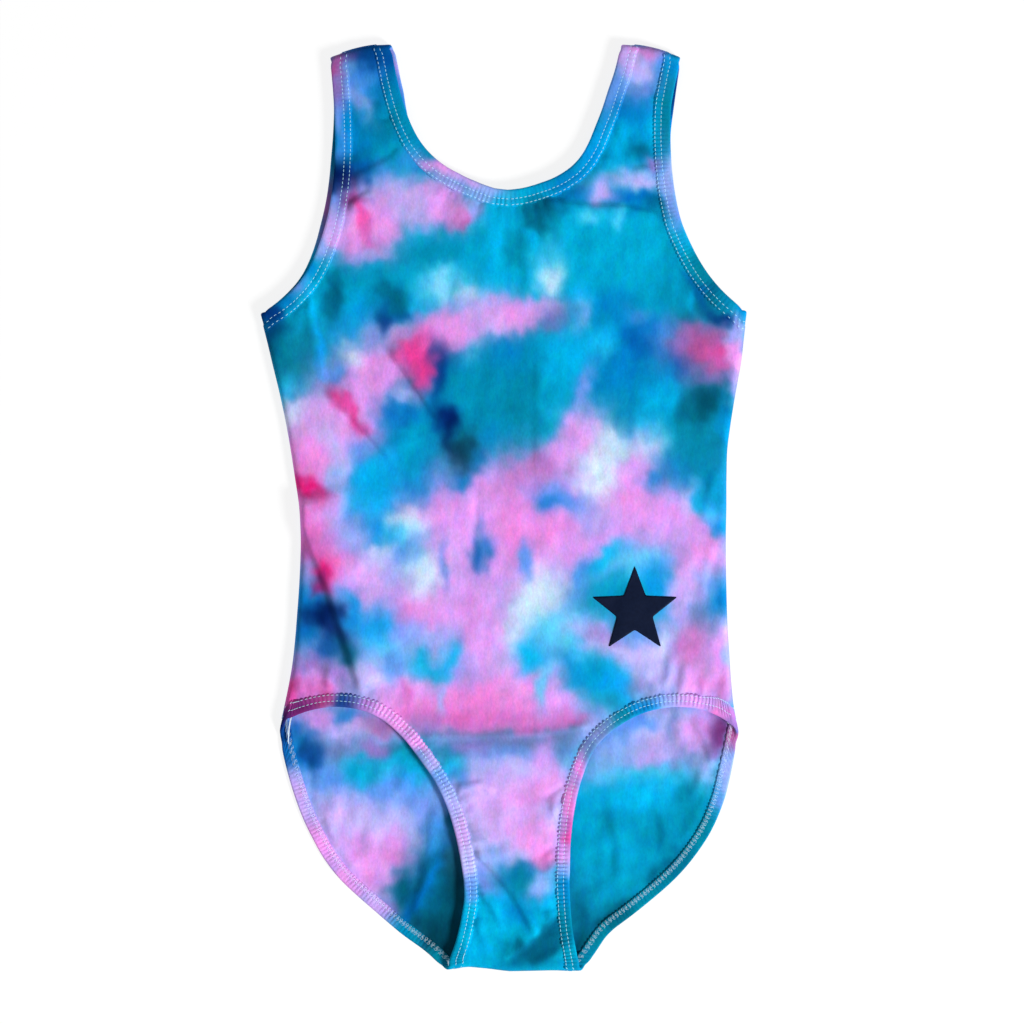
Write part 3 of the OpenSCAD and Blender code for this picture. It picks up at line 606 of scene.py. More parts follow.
def knit_material():
    """The stretch knit: dyed through, with shade and highlights painted into its colour in places, finely
    ribbed along the wales, a little fuzzy and barely shiny.
    """
    material, tree, shader, place = new_material("dyed stretch knit with painted shade")
    dye_and_shade = node(tree, "ShaderNodeVertexColor", layer_name="dye_and_shade").outputs["Color"]
    stretched = node(tree, "ShaderNodeMapping", [("Vector", place)])
    stretched.inputs["Scale"].default_value = (1, 0.45, 1)
    fuzz = node(tree, "ShaderNodeTexNoise", [("Vector", stretched.outputs["Vector"])],
                Scale=900.0, Detail=3.0, Roughness=0.7)
    fleck = node(tree, "ShaderNodeMapRange", [("Value", fuzz.outputs["Fac"])])
    for name, value in (("From Min", 0.3), ("From Max", 0.7), ("To Min", 0.9), ("To Max", 1.1)):
        fleck.inputs[name].default_value = value
    flecked = node(tree, "ShaderNodeVectorMath", [(0, dye_and_shade), (1, fleck.outputs["Result"])],
                   operation="MULTIPLY")
    uneven = node(tree, "ShaderNodeTexNoise", [("Vector", stretched.outputs["Vector"])],
                  Scale=260.0, Detail=4.0, Roughness=0.65)
    takeup = node(tree, "ShaderNodeVectorMath", [(0, uneven.outputs["Color"])], operation="MULTIPLY_ADD")
    takeup.inputs[1].default_value = (0.75, 0.55, 0.4)
    takeup.inputs[2].default_value = (0.625, 0.725, 0.8)
    shade = node(tree, "ShaderNodeVectorMath", operation="MULTIPLY",
                 links=[(0, flecked.outputs["Vector"]), (1, takeup.outputs["Vector"])])
    tree.links.new(shade.outputs["Vector"], shader.inputs["Base Color"])
    wales = node(tree, "ShaderNodeTexWave", [("Vector", place)], bands_direction="X",
                 Scale=WALES, Distortion=0.6, Detail=1.0)
    courses = node(tree, "ShaderNodeTexWave", [("Vector", place)], bands_direction="Y",
                   Scale=COURSES, Distortion=0.6, Detail=1.0)
    knit = node(tree, "ShaderNodeMath", [(0, wales.outputs["Fac"]), (1, courses.outputs["Fac"])],
                operation="ADD")
    yarn = node(tree, "ShaderNodeBump", [("Height", knit.outputs["Value"])])
    yarn.inputs["Strength"].default_value = 0.35
    yarn.inputs["Distance"].default_value = 0.00005
    pile = node(tree, "ShaderNodeBump", [("Height", fuzz.outputs["Fac"]), ("Normal", yarn.outputs["Normal"])])
    pile.inputs["Strength"].default_value = 0.3
    pile.inputs["Distance"].default_value = 0.00008
    tree.links.new(pile.outputs["Normal"], shader.inputs["Normal"])
    shader.inputs["Roughness"].default_value = 0.8
    shader.inputs["Specular IOR Level"].default_value = 0.02
    return material


KNIT = knit_material()

# ---------------------------------------------------------------------------------------------------
# The front panel: one piece of stretch knit, cut with an open neck and high legs. It lies loose on
# the back, rolls over at the side seams, and is drawn into gathers where the elastic pulls its hems.
# ---------------------------------------------------------------------------------------------------


def flat_cloth(loop, fine, coarse, keep_from):
    """Triangles that fill a loop: small near its hems and sides, larger in the middle."""
    rim = evenly(np.vstack([loop, loop[:1]]), fine)[:-1]
    points = [rim]
    for step, low, high in ((fine, 0.7 * fine, 14), (coarse, 14, 1e6)):
        xs = np.arange(loop[:, 0].min(), loop[:, 0].max(), step)
        ys = np.arange(loop[:, 1].min(), loop[:, 1].max(), step * 0.866)
        grid = np.stack(np.meshgrid(xs, ys), -1)
        grid[1::2, :, 0] += step / 2
        grid = grid.reshape(-1, 2)
        grid = np.concatenate([g[inside(g, rim)] for g in np.array_split(grid, 40)])
        far = distance(grid, np.vstack([rim, rim[:1]]))[0]
        points.append(grid[(far > low) & (far <= high)])
    points = np.concatenate(points)
    points[len(rim):] += np.random.default_rng(1).uniform(-0.12, 0.12, (len(points) - len(rim), 2)) * fine
    edges = [(i, (i + 1) % len(rim)) for i in range(len(rim))]
    flat, _, faces, *_ = delaunay_2d_cdt([Vector(p) for p in points], edges, [], 1, 1e-5)
    flat = np.array([tuple(p) for p in flat])
    faces = np.array([f for f in faces if len(f) == 3])
    a, b, c = flat[faces[:, 0]], flat[faces[:, 1]], flat[faces[:, 2]]
    turned = (b - a)[:, 0] * (c - a)[:, 1] - (b - a)[:, 1] * (c - a)[:, 0] < 0
    faces[turned] = faces[turned][:, ::-1]
    faces = faces[keep_from((a + b + c) / 3)]
    used, order = np.unique(faces, return_inverse=True)
    return flat[used], order.reshape(faces.shape)


def away_from_hems(points, face):
    """Distances from the neck and arm edges, and from the leg edges, with the place along them."""
    neck = distance(points, BACK_NECK if face else NECK)
    arms = [distance(points, side[face + "arm"]) for side in (LEFT, RIGHT)]
    legs = [distance(points, side[face + "leg"]) for side in (LEFT, RIGHT)]
    upper = np.minimum(neck[0], np.minimum(arms[0][0], arms[1][0]))
    return upper, np.minimum(legs[0][0], legs[1][0]), neck, arms, legs


def clear_of_hems(face):
    """Keeps the cloth that shows beyond the hems and a little that is caught in them."""
    def keep(points):
        upper, lower, *_ = away_from_hems(points, face)
        return (upper > HEM["width"] - TUCK) & (lower > LEG_HEM["width"] - TUCK)
    return keep


def fold(points, route, height, left, right, ends=10):
    """A crease along a route: its height, how far it slopes away on each side, and its tapered ends."""
    line = evenly(np.array(route, float), 1.0)
    near, at, side = distance(points, line)
    width = np.where(side > 0, right, left)
    taper = smooth_step(at, 0, ends) * smooth_step(measured(line)[-1] - at, 0, ends)
    return height * np.exp(-(near / width)**2) * np.maximum(taper, 0.0)


# Each fold of the front: route, height, slope on its left, slope on its right
FRONT_FOLDS = [
    ([(-128, 8), (-121, -14), (-108, -44), (-97, -76), (-86, -112)], 4.2, 26, 3.2),
    ([(-121, 136), (-118, 115), (-113, 92), (-109, 74)], 1.5, 1.3, 5),
    ([(-124, 128), (-126, 112), (-130, 98)], 0.8, 2, 5),
    ([(-105, 152), (-105, 134), (-104, 112)], -1.0, 4, 4),
    ([(-112, 70), (-98, 60), (-84, 45), (-68, 27)], 2.4, 9, 1.3),
    ([(-98, 84), (-88, 60), (-80, 40)], 0.8, 4, 2),
    ([(-74, 98), (-60, 80), (-48, 62), (-38, 48)], 2.4, 9, 1.3),
    ([(-94, 250), (-86, 248), (-78, 243), (-72, 240)], -1.2, 2.5, 2.5),
    ([(-82, 235), (-74, 233), (-66, 234)], -1.3, 1.8, 1.8),
    ([(-98, 199), (-84, 206), (-72, 212), (-63, 222)], -1.6, 4, 3),
    ([(-100, 174), (-90, 184), (-78, 191)], 1.7, 2, 7),
    ([(18, 186), (35, 181), (52, 179.5), (70, 179), (94, 174)], 1.8, 2.2, 9),
    ([(66, 262), (84, 252), (90, 240), (88, 228)], -1.0, 3, 3),
    ([(63, 236), (69, 220), (77, 204)], 1.0, 2.5, 2.5),
    ([(72, 202), (84, 203), (93, 197)], 1.4, 2, 4),
    ([(52, 213), (64, 206), (76, 201)], 0.9, 3, 2),
    ([(88, 246), (93, 232), (92, 214)], 0.9, 2.5, 2.5),
    ([(14, 104), (15, 60), (14, 15)], -0.5, 2, 4),
    ([(-18, 22), (-20, -10), (-22, -44)], -0.6, 2.5, 2),
    ([(-39, -22), (-39, -58)], -0.5, 2, 2.5),
    ([(-84, 4), (-60, 10), (-30, 8)], 0.5, 4, 4),
    ([(-78, -58), (-70, -80), (-66, -98)], 0.9, 4, 4),
    ([(104, 12), (96, 34), (86, 62)], 0.9, 6, 8),
    ([(62, 8), (58, 30), (60, 52)], 0.6, 5, 5),
    ([(128, 30), (121, 8), (118, -14)], 1.1, 4, 4),
    ([(114, -20), (108, -44), (104, -70)], 0.9, 4, 5),
    ([(125, -16), (118, -40), (115, -64)], 0.8, 3, 4),
    ([(134, -66), (127, -60), (121, -48)], -1.0, 2.5, 2.5),
    ([(98, -84), (97, -100), (93, -112)], 1.5, 2.5, 3),
    ([(107, -90), (104, -112)], 1.2, 2.5, 2.5),
    ([(86, -98), (86, -114)], -1.1, 2.5, 2.5),
    ([(117, -98), (117, -114)], 0.9, 2.5, 2.5),
    ([(127, -98), (125, -110)], -0.9, 2.5, 2.5),
    ([(-107, -92), (-108, -113)], 1.4, 2.5, 2.5),
    ([(-117, -104), (-110, -110)], -1.4, 2.5, 2.5),
    ([(-126, -100), (-124, -116)], 0.9, 2.5, 2.5),
    ([(-58, -138), (-20, -137.5), (20, -136), (54, -130)], 0.9, 3.0, 1.2),
    ([(-36, -180), (-28, -168), (-16, -166), (-4, -172)], 1.3, 2.2, 2.2),
    ([(-34, -174), (-26, -180), (-18, -178)], -0.9, 2, 2),
    ([(-29, -190), (-16, -196), (-4, -204)], 1.2, 2.5, 2.2),
    ([(-25, -202), (-10, -215), (4, -232), (14, -250), (20, -259)], 2.2, 4, 2.0),
    ([(-22, -226), (-10, -238), (-2, -254)], 1.5, 3, 2),
    ([(-20, -240), (-16, -256), (-10, -268)], 0.9, 2.5, 2.5),
    ([(-6, -272), (8, -263), (20, -252), (32, -238)], 2.4, 7, 2.2),
    ([(38, -166), (30, -169), (20, -176)], -1.2, 2, 2),
    ([(34, -194), (28, -184), (27, -172)], 1.3, 2, 2),
    ([(34, -202), (25, -205), (16, -212)], -1.2, 2, 2.5),
    ([(33, -214), (26, -216), (20, -222)], 1.0, 2, 2),
    ([(-42, -145), (-32, -151), (-24, -146)], 1.0, 2.5, 2.5),
    ([(40, -262), (30, -268), (12, -274)], 1.0, 3, 3),
]


def gathers(points, upper, lower, neck, legs, seed):
    """The small pleats that run away from a drawn-in hem, closest where the elastic pulls hardest."""
    total = np.zeros(len(points))
    middle = measured(NECK)[-1] / 2
    pulls = [(neck, HEM["width"], np.exp(-((neck[1] - middle) / 34)**2), 1.15, 13)]
    pulls += [(leg, LEG_HEM["width"], 0.55 + 0 * leg[0], 0.8, 7) for leg in legs]
    for k, ((near, at, _), width, pull, height, reach) in enumerate(pulls):
        spread = np.stack([at / 2.1, (near - width) / 26], 1)
        wide = np.stack([at / 5.0, (near - width) / 34], 1)
        fade = np.exp(-np.clip(near - width, 0, None) / reach)
        long = np.exp(-np.clip(near - width, 0, None) / (2.6 * reach))
        pleats = 0.3 * cloud(spread, 1, seed + k) * fade + 0.42 * cloud(wide, 1, seed + 9 + k) * long
        total += height * pull * pleats
    return total


def rolled(height, middle, points, edges, reach):
    """Heights that roll down to the middle of the garment at its seams."""
    for line in edges:
        near = distance(points, line)[0]
        t = np.clip(near / reach, 0, 1)
        height = middle + (height - middle) * np.sqrt(1 - (1 - t)**2)
    return height


SEAMS = [LEFT["side"], RIGHT["side"], LEFT["strap"], RIGHT["strap"], CROTCH]
MIDDLE_Z = (FRONT_Z + BACK_Z) / 2
FINE, COARSE = ((1.25, 1.75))


def front_height(points):
    """How high the middle of the front panel's cloth lies above the floor."""
    upper, lower, neck, arms, legs = away_from_hems(points, "")
    hem = np.minimum(upper - HEM["width"], lower - LEG_HEM["width"])
    free = smooth_step(hem, -0.5, 7)
    height = FRONT_Z + 0.12 + free * (0.75 + 0.30 * cloud(points, 38, 11) + 0.16 * cloud(points, 15, 12))
    height += free * 0.05 * cloud(points, 6, 13)
    creased = sum(fold(points, *f) for f in FRONT_FOLDS)
    height += creased * smooth_step(hem, -1.5, 5)
    height += gathers(points, upper, lower, neck, legs, 20) * smooth_step(hem, -1.0, 1.6)
    return rolled(height, MIDDLE_Z, points, SEAMS, ROLL)


front_flat, front_faces = flat_cloth(outline(NECK, ""), FINE, COARSE, clear_of_hems(""))
front_z = front_height(front_flat)
front = new_piece("front_panel_cloth", np.c_[front_flat, front_z], front_faces, KNIT, "dyed_fabric")
add_dye_and_shade(front, dyed_and_shaded(front_flat, FRONT_POURS_AND_SHADE))


def make_active(piece):
    """Selects one piece, and only that one."""
    bpy.ops.object.select_all(action="DESELECT")
    piece.select_set(True)
    bpy.context.view_layer.objects.active = piece


def thicken(piece, thickness):
    """Gives a sheet its real thickness, half to each side."""
    make_active(piece)
    solid = piece.modifiers.new("thickness", "SOLIDIFY")
    solid.thickness = thickness / MM
    solid.offset = 0
    bpy.ops.object.modifier_apply(modifier=solid.name)


thicken(front, FABRIC)
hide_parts("front_panel")

# ---------------------------------------------------------------------------------------------------
# The back panel: the same knit with a fuller seat, lying on the floor with its wrong side up. It shows
# through the leg openings, where it is loosely rumpled.
# ---------------------------------------------------------------------------------------------------
SHARED = 150        # how many of the front's pours ran through to the back, where they lie mirrored
BACK_SEED = 50      # the draw of the back's wandering edges
BACK_POURS_AND_SHADE = [(-x, y, w, h, -turn, *dye_and_shade) for x, y, w, h, turn, *dye_and_shade in FRONT_POURS_AND_SHADE[:SHARED]] + [
    # inside the left leg opening
    (-90, -190, 75, 90, 0, "haze", 1), (-112, -129, 16, 8, 0, "orchid", 0.9),
    (-97, -126, 7, 6, 0, "ocean", 0.8), (-95, -135, 9, 5, 0, "lilac", 0.9),
    (-76, -130, 14, 7, 0, "berry", 0.6), (-130, -134, 6, 6, 0, "royal", 0.7),
    (-123, -147, 11, 11, 0, "ocean", 0.95), (-118, -153, 5, 7, 20, "royal", 0.9),
    (-102, -147, 14, 8, 0, "slate", 0.8), (-90, -160, 12, 9, 0, "sea", 0.95),
    (-60, -154, 22, 8, 0, "sea", 0.95), (-60, -146, 12, 5, 0, "teal", 0.9),
    (-108, -164, 12, 7, 0, "cornflower", 0.8), (-78, -145, 9, 4, 0, "mauve", 0.9),
    (-72, -172, 22, 7, 0, "cornflower", 0.9), (-60, -164, 12, 5, 0, "azure", 0.7),
    (-54, -180, 9, 12, 0, "periwinkle", 0.9), (-100, -190, 16, 13, 0, "lavender", 0.95),
    (-84, -194, 18, 14, 0, "lilac", 0.9), (-88, -208, 16, 11, 0, "orchid", 0.9),
    (-78, -221, 14, 13, 0, "rose", 0.95), (-66, -206, 8, 12, 10, "pink", 0.8),
    (-58, -195, 8, 8, 0, "lilac", 0.6), (-42, -196, 8, 13, 0, "cornflower", 0.9),
    # painted shadow of the front's leg hem on the back: the deep teal at (-32, -184), (-44, -243), (-64,
    # -230) and (-42, -228), and the black teal at (-36, -264)
    (-32, -184, 4, 12, 0, "deep teal", 0.9), (-44, -243, 22, 22, 0, "deep teal", 1),
    (-46, -216, 8, 13, -20, "azure", 0.8), (-55, -238, 5, 15, -25, "blue", 0.9),
    (-64, -230, 6, 8, 0, "deep teal", 0.8), (-36, -264, 9, 8, 0, "black teal", 0.9),
    (-72, -242, 7, 4, 0, "mauve", 0.6), (-42, -228, 5, 10, 0, "deep teal", 0.7),
    # inside the right leg opening
    (85, -138, 50, 24, 0, "lilac", 1), (63, -136, 13, 8, 30, "cornflower", 0.8),
    (78, -128, 9, 5, 0, "cornflower", 0.8), (92, -144, 10, 8, 0, "lavender", 0.9),
    (99, -132, 4.5, 13, -8, "slate", 0.7), (113, -136, 7, 14, -25, "orchid", 0.9),
    (126, -136, 6, 11, 0, "plum", 0.9), (70, -150, 13, 7, 0, "haze", 0.8),
    (85, -152, 9, 6, 0, "orchid", 0.8), (111, -152, 6, 6, 0, "slate", 0.7),
    (119, -160, 5, 8, 0, "lilac", 0.9), (60, -162, 15, 6, 0, "lilac", 0.9),
    (84, -162, 24, 5, 0, "aqua", 0.8), (75, -203, 58, 36, 0, "turquoise", 1),
    (80, -173, 32, 8, 0, "cyan", 0.8), (110, -174, 8, 8, 0, "teal", 0.7),
    (114, -190, 8, 9, 40, "teal", 0.9), (45, -190, 7, 16, 0, "sea", 0.8),
    # painted shadow of the raised back hem: the black teal at (66, -250) and the deep teal at (102, -216)
    (66, -250, 36, 8, 32, "black teal", 0.9), (102, -216, 16, 7, 45, "deep teal", 0.9),
    (44, -250, 7, 18, 0, "deep teal", 0.9), (60, -210, 14, 14, 0, "sea", 0.5),
    # the dark end of the left opening, painted shadow of the front's leg hem, with its blue streak
    (-40, -240, 16, 28, 15, "deep teal", 0.9), (-32, -222, 8, 22, 0, "black teal", 0.7),
    (-40, -258, 14, 12, 0, "black teal", 0.7), (-63, -231, 5, 9, 0, "deep teal", 0.8),
    (-51, -231, 3, 21, -26, "blue", 0.9), (-118, -146, 5, 8, 0, "navy", 0.6),
    (-88, -160, 8, 7, 0, "sea", 0.6),
]
BACK_FOLDS = [
    ([(-112, -186), (-104, -204), (-92, -218)], 1.6, 4, 3),
    ([(-45, -178), (-46, -204), (-52, -226)], 1.0, 3, 3),
    ([(-40, -204), (-50, -226), (-58, -250)], 1.9, 7, 3),
    ([(-122, -146), (-120, -160), (-118, -170)], -1.3, 3, 3),
    ([(-66, -160), (-62, -174)], 1.0, 3, 3),
    ([(-94, -182), (-88, -196)], 0.8, 3, 3),
    ([(60, -176), (66, -200), (66, -226)], 1.0, 4, 3),
    ([(90, -180), (95, -196), (91, -214)], 1.1, 4, 3),
    ([(108, -176), (114, -168), (120, -154)], 1.5, 4, 3),
    ([(110, -124), (119, -140), (124, -158)], 1.8, 6, 2.2),
    ([(98, -150), (106, -160), (112, -172)], 1.0, 3, 3),
    ([(50, -236), (64, -226), (78, -212)], 0.9, 5, 5),
    ([(97, -126), (100, -140), (106, -148)], -1.0, 3, 3),
]


def back_height(points):
    """How high the middle of the back panel's cloth lies above the floor."""
    upper, lower, neck, arms, legs = away_from_hems(points, "back ")
    hem = np.minimum(upper - HEM["width"], lower - LEG_HEM["width"])
    free = smooth_step(hem, -0.5, 6)
    loose = free * smooth_step(-points[:, 1], 100, 135)
    rumple = 0.45 * cloud(points, 22, 31) + 0.18 * cloud(points, 9, 32)
    height = BACK_Z + 0.1 - 0.55 * free + loose * (0.75 + rumple)
    height += loose * sum(fold(points, *f) for f in BACK_FOLDS)
    height += 0.35 * gathers(points, upper, lower, neck, legs, 40) * smooth_step(hem, -1.0, 1.6)
    return rolled(np.maximum(height, 0.36), MIDDLE_Z, points, SEAMS, ROLL)


back_flat, back_faces = flat_cloth(outline(BACK_NECK, "back "), FINE, COARSE * 1.1, clear_of_hems("back "))
back_z = back_height(back_flat)
back = new_piece("back_panel_cloth", np.c_[back_flat, back_z], back_faces, KNIT, "dyed_fabric")
add_dye_and_shade(back, dyed_and_shaded(back_flat, BACK_POURS_AND_SHADE, BACK_SEED))
thicken(back, FABRIC)
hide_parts("back_panel")

# ---------------------------------------------------------------------------------------------------
# The hems: the panel's own edge turned in over the elastic and sewn down, so each is a hollow band
# that runs in one closed loop over the front and back, fluted between the stitches by the elastic.
# ---------------------------------------------------------------------------------------------------
STITCH = 2.4            # length of one stitch
SLICES = 5              # cross-sections of a hem for each stitch
STEP = STITCH / SLICES


def hem_loop(front_line, back_line, seams):
    """The route of a hem round its opening: along the front edge, over the fold at one seam, along the
    back edge and over the fold at the other. Gives places and the directions along it, out of the
    garment's face, and into the cloth; that last one swings round to lie along the seam at each fold."""
    roll = (FRONT_Z - BACK_Z) / 2
    ends = []
    for seam in seams:
        line = evenly(seam, 1.0)
        way = (line[10] - line[0]) / np.linalg.norm(line[10] - line[0])
        ends.append((line[0], way))
    middle = front_line[len(front_line) // 2]
    faces = []
    for line, z in ((front_line, FRONT_Z), (back_line, BACK_Z)):
        fine = evenly(line, 0.2)
        keep = np.full(len(fine), True)
        for spot, way in ends:
            across = np.array([-way[1], way[0]])
            across *= np.sign((middle - spot) @ across)
            keep &= ((fine - spot) @ across > roll + HEM_HALF) | (np.linalg.norm(fine - spot, axis=1) > 40)
        line = evenly(fine[keep], STEP)
        inner = rightward(line)
        s = measured(line)
        for from_end, (spot, way) in ((s[-1] - s, ends[1]), (s, ends[0])):
            square = inner[np.argmin(from_end)]
            long = min(1 / max(square @ way, 0.3), 2.2)
            near = 1 - smooth_step(from_end, 0, 12 if long < 1.5 else 26)
            inner = (1 - near[:, None]) * inner + near[:, None] * long * way
            line = line + 0.8 * np.clip(1 - from_end / 4, 0, 1)[:, None]**2 * way
        faces.append((np.c_[line, np.full(len(line), z)], inner))
    (front_way, front_in), (back_way, back_in) = faces
    back_way, back_in = back_way[::-1], back_in[::-1]

    def fold_over(start, start_in, stop, stop_in, spot, way, rising):
        t = np.linspace(0, 1, 15)[1:-1]
        across = np.array([-way[1], way[0]])
        across *= -np.sign((middle - spot) @ across)
        level = start[:2] + t[:, None] * (stop - start)[:2] + roll * np.sin(math.pi * t)[:, None] * across
        z = (start[2] + stop[2]) / 2 + (start[2] - stop[2]) / 2 * np.cos(math.pi * t)
        inner = start_in + t[:, None] * (stop_in - start_in)
        facing = (-1 if rising else 1) * np.cos(math.pi * t)
        return np.c_[level, z], inner, np.c_[np.sin(math.pi * t)[:, None] * across, facing]
    over = fold_over(front_way[-1], front_in[-1], back_way[0], back_in[0], *ends[1], False)
    under = fold_over(back_way[-1], back_in[-1], front_way[0], front_in[0], *ends[0], True)
    route = np.concatenate([front_way, over[0], back_way, under[0]])
    into = np.concatenate([front_in, over[1], back_in, under[1]])
    into = np.c_[into, np.zeros(len(into))]
    up = np.array([0, 0, 1.0])
    out = np.concatenate([np.tile(up, (len(front_way), 1)), over[2],
                          np.tile(-up, (len(back_way), 1)), under[2]])
    along = np.roll(route, -1, 0) - np.roll(route, 1, 0)
    along /= np.linalg.norm(along, axis=1)[:, None]
    return route, along, out, into


def hem_section(width, rows):
    """The closed cross-section of a hem: distances in from its edge, and heights above its middle."""
    top = HEM_HALF
    ins = [width + 0.9, width, rows[1], rows[1] - 0.55, (rows[0] + rows[1]) / 2, rows[0] + 0.55, rows[0],
           rows[0] - 0.55, 2.2 if rows[0] > 5 else 2.0, 1.3]
    ups = [top - 0.66, top - 0.42, top - 0.24, top - 0.06, top, top - 0.04, top - 0.2,
           top - 0.05, top, top - 0.02]
    for a in (60, 25, 0, -25, -60):
        ins.append(top - top * math.cos(math.radians(a)))
        ups.append(top * math.sin(math.radians(a)))
    ins += [1.3, rows[0], (rows[0] + rows[1]) / 2, rows[1], width]
    ups += [-top, -top + 0.1, -top, -top + 0.1, -top + 0.15]
    hollow = top - FABRIC
    ins += [width, rows[0], 1.4, FABRIC, 1.4, rows[0], width - 0.3]
    ups += [-hollow + 0.1, -hollow, -hollow, 0, hollow, hollow - 0.15, hollow - 0.4]
    return np.array(ins), np.array(ups)


def ripple(route, strength):
    """The fluting of a hem at each place along it: a round rib under each stitch, a groove between."""
    beat = np.arange(len(route)) * 2 * math.pi / SLICES
    rib = (0.5 + 0.5 * np.cos(beat + 0.3))**0.5 - 0.7
    return strength * rib * (1 + 0.3 * cloud(np.c_[np.arange(len(route)) / 12, np.zeros(len(route))], 1, 5))


def sweep(route, out, into, ins, ups, rise=None):
    """A closed band from a cross-section carried along a closed route."""
    n, m = len(route), len(ins)
    ring = route[:, None] + ins[None, :, None] * into[:, None]
    lift = ups[None, :] + (0 if rise is None else rise)
    points = (ring + lift[..., None] * out[:, None]).reshape(-1, 3)
    i, j = np.meshgrid(np.arange(n), np.arange(m), indexing="ij")
    a, b = i * m + j, i * m + (j + 1) % m
    c, d = ((i + 1) % n) * m + (j + 1) % m, ((i + 1) % n) * m + j
    return points, np.stack([a, d, c, b], -1).reshape(-1, 4)


HEM_POURS = [
    # the neck, from the left strap round to the right
    (-40, 203, 13, 5, -25, "rose", 0.95), (-24, 196, 12, 4, -15, "lavender", 0.95),
    (-8, 191, 9, 5, 0, "haze", 0.9), (12, 190, 12, 5, 0, "sea", 0.95), (35, 197, 14, 5, 25, "ocean", 0.8),
    (50, 214, 7, 13, -25, "azure", 0.9), (62, 250, 6, 14, -15, "periwinkle", 0.8),
    (70, 270, 4, 9, 0, "lavender", 0.8), (-60, 232, 6, 14, 25, "turquoise", 0.7),
    # the left armhole, down from the strap
    (-105, 264, 5, 12, 0, "berry", 0.9), (-104, 247, 5, 10, 0, "mauve", 0.9),
    (-102, 232, 4, 9, 0, "periwinkle", 0.8), (-100, 215, 4, 10, 0, "cornflower", 0.7),
    (-101, 197, 6, 8, 0, "ink", 0.9), (-104, 182, 5, 6, 0, "periwinkle", 0.9),
    (-108, 170, 6, 8, 0, "lavender", 0.95), (-113, 157, 5, 8, 20, "haze", 0.9),
    (-120, 144, 6, 8, 35, "azure", 0.9), (-128, 133, 7, 6, 40, "periwinkle", 0.9),
    (-136, 124, 6, 5, 0, "ocean", 0.9), (-144, 116, 7, 6, 0, "navy", 0.95),
    # the right armhole
    (100, 262, 6, 10, 0, "azure", 0.9), (96, 236, 6, 22, 0, "teal", 0.9), (99, 195, 6, 18, 0, "haze", 0.95),
    (102, 175, 5, 9, 20, "periwinkle", 0.8), (107, 162, 5, 8, 20, "cyan", 0.6),
    (116, 146, 8, 12, 30, "teal", 0.95), (126, 130, 9, 5, -35, "deep teal", 0.5),
    (141, 118, 5, 5, 0, "azure", 0.9),
    # the front of the left leg, from the hip
    (-112, -117, 12, 5, 0, "berry", 0.95), (-128, -122, 13, 5, 22, "plum", 0.95),
    (-127, -125, 8, 4, 25, "plum", 0.9), (-137, -131, 5, 7, 0, "ink", 0.95),
    (-97, -117, 6, 7, 0, "navy", 0.95), (-86, -118, 8, 6, 0, "mauve", 0.9),
    (-69, -126, 11, 6, -30, "rose", 0.95), (-54, -140, 8, 8, -45, "rose", 0.95),
    (-45, -151, 6, 6, 0, "lavender", 0.9), (-40, -160, 5, 6, 0, "periwinkle", 0.7),
    (-34, -174, 5, 9, 20, "haze", 0.9), (-28, -196, 5, 14, 10, "lavender", 0.95),
    (-24, -215, 5, 8, 0, "lilac", 0.9), (-23, -229, 5, 7, 0, "periwinkle", 0.9),
    (-26, -247, 6, 12, 0, "sea", 0.95), (-33, -267, 8, 9, 0, "turquoise", 0.9),
    # the front of the right leg
    (137, -129, 6, 11, 0, "mauve", 0.95), (134, -116, 4, 6, 0, "haze", 0.8),
    (127, -124, 8, 6, 0, "pink", 0.95), (110, -117, 11, 5, 0, "orchid", 0.95),
    (95, -117, 8, 5, 0, "haze", 0.7), (80, -120, 9, 5, 15, "ocean", 0.9), (68, -125, 8, 5, 30, "teal", 0.9),
    (57, -132, 6, 5, 40, "slate", 0.7), (48, -143, 6, 6, 0, "slate", 0.8), (43, -156, 5, 8, 0, "pink", 0.9),
    (38, -176, 5, 12, 0, "pink", 0.9), (37, -195, 5, 8, 0, "hot", 0.8), (36, -209, 5, 6, 0, "orchid", 0.9),
    (35, -220, 5, 6, 0, "haze", 0.9), (35, -233, 5, 8, 0, "ocean", 0.9), (36, -251, 6, 13, 0, "teal", 0.9),
    (40, -271, 9, 6, 0, "turquoise", 0.8),
]
HEM_BACK_POURS = [
    (-60, 230, 40, 80, 0, "ocean", 0.9), (-72, 266, 8, 12, 0, "lavender", 0.9),
    (-66, 248, 6, 10, 0, "periwinkle", 0.9), (-104, 225, 6, 24, 0, "deep teal", 0.9),
    (-108, 175, 8, 20, 0, "berry", 0.8), (-128, 136, 10, 9, 40, "deep teal", 0.9),
    (100, 250, 10, 14, 0, "navy", 0.9), (60, 240, 12, 26, 0, "deep teal", 0.9),
    (-137, -136, 6, 7, 0, "navy", 0.95), (-134, -150, 6, 9, 0, "royal", 0.8),
    (-128, -173, 9, 13, 20, "lavender", 0.95), (-115, -201, 11, 13, 35, "rose", 0.95),
    (-99, -223, 11, 9, 40, "rose", 0.9), (-81, -241, 11, 8, 40, "lavender", 0.95),
    (-62, -258, 12, 8, 35, "turquoise", 0.95), (-42, -273, 9, 7, 0, "teal", 0.95),
    (138, -137, 7, 10, 0, "berry", 0.9), (133, -161, 7, 14, 0, "haze", 0.95),
    (127, -179, 6, 6, 0, "periwinkle", 0.8), (116, -200, 13, 14, 30, "teal", 0.95),
    (85, -236, 20, 15, 45, "teal", 0.95), (55, -263, 16, 13, 40, "teal", 0.95),
]
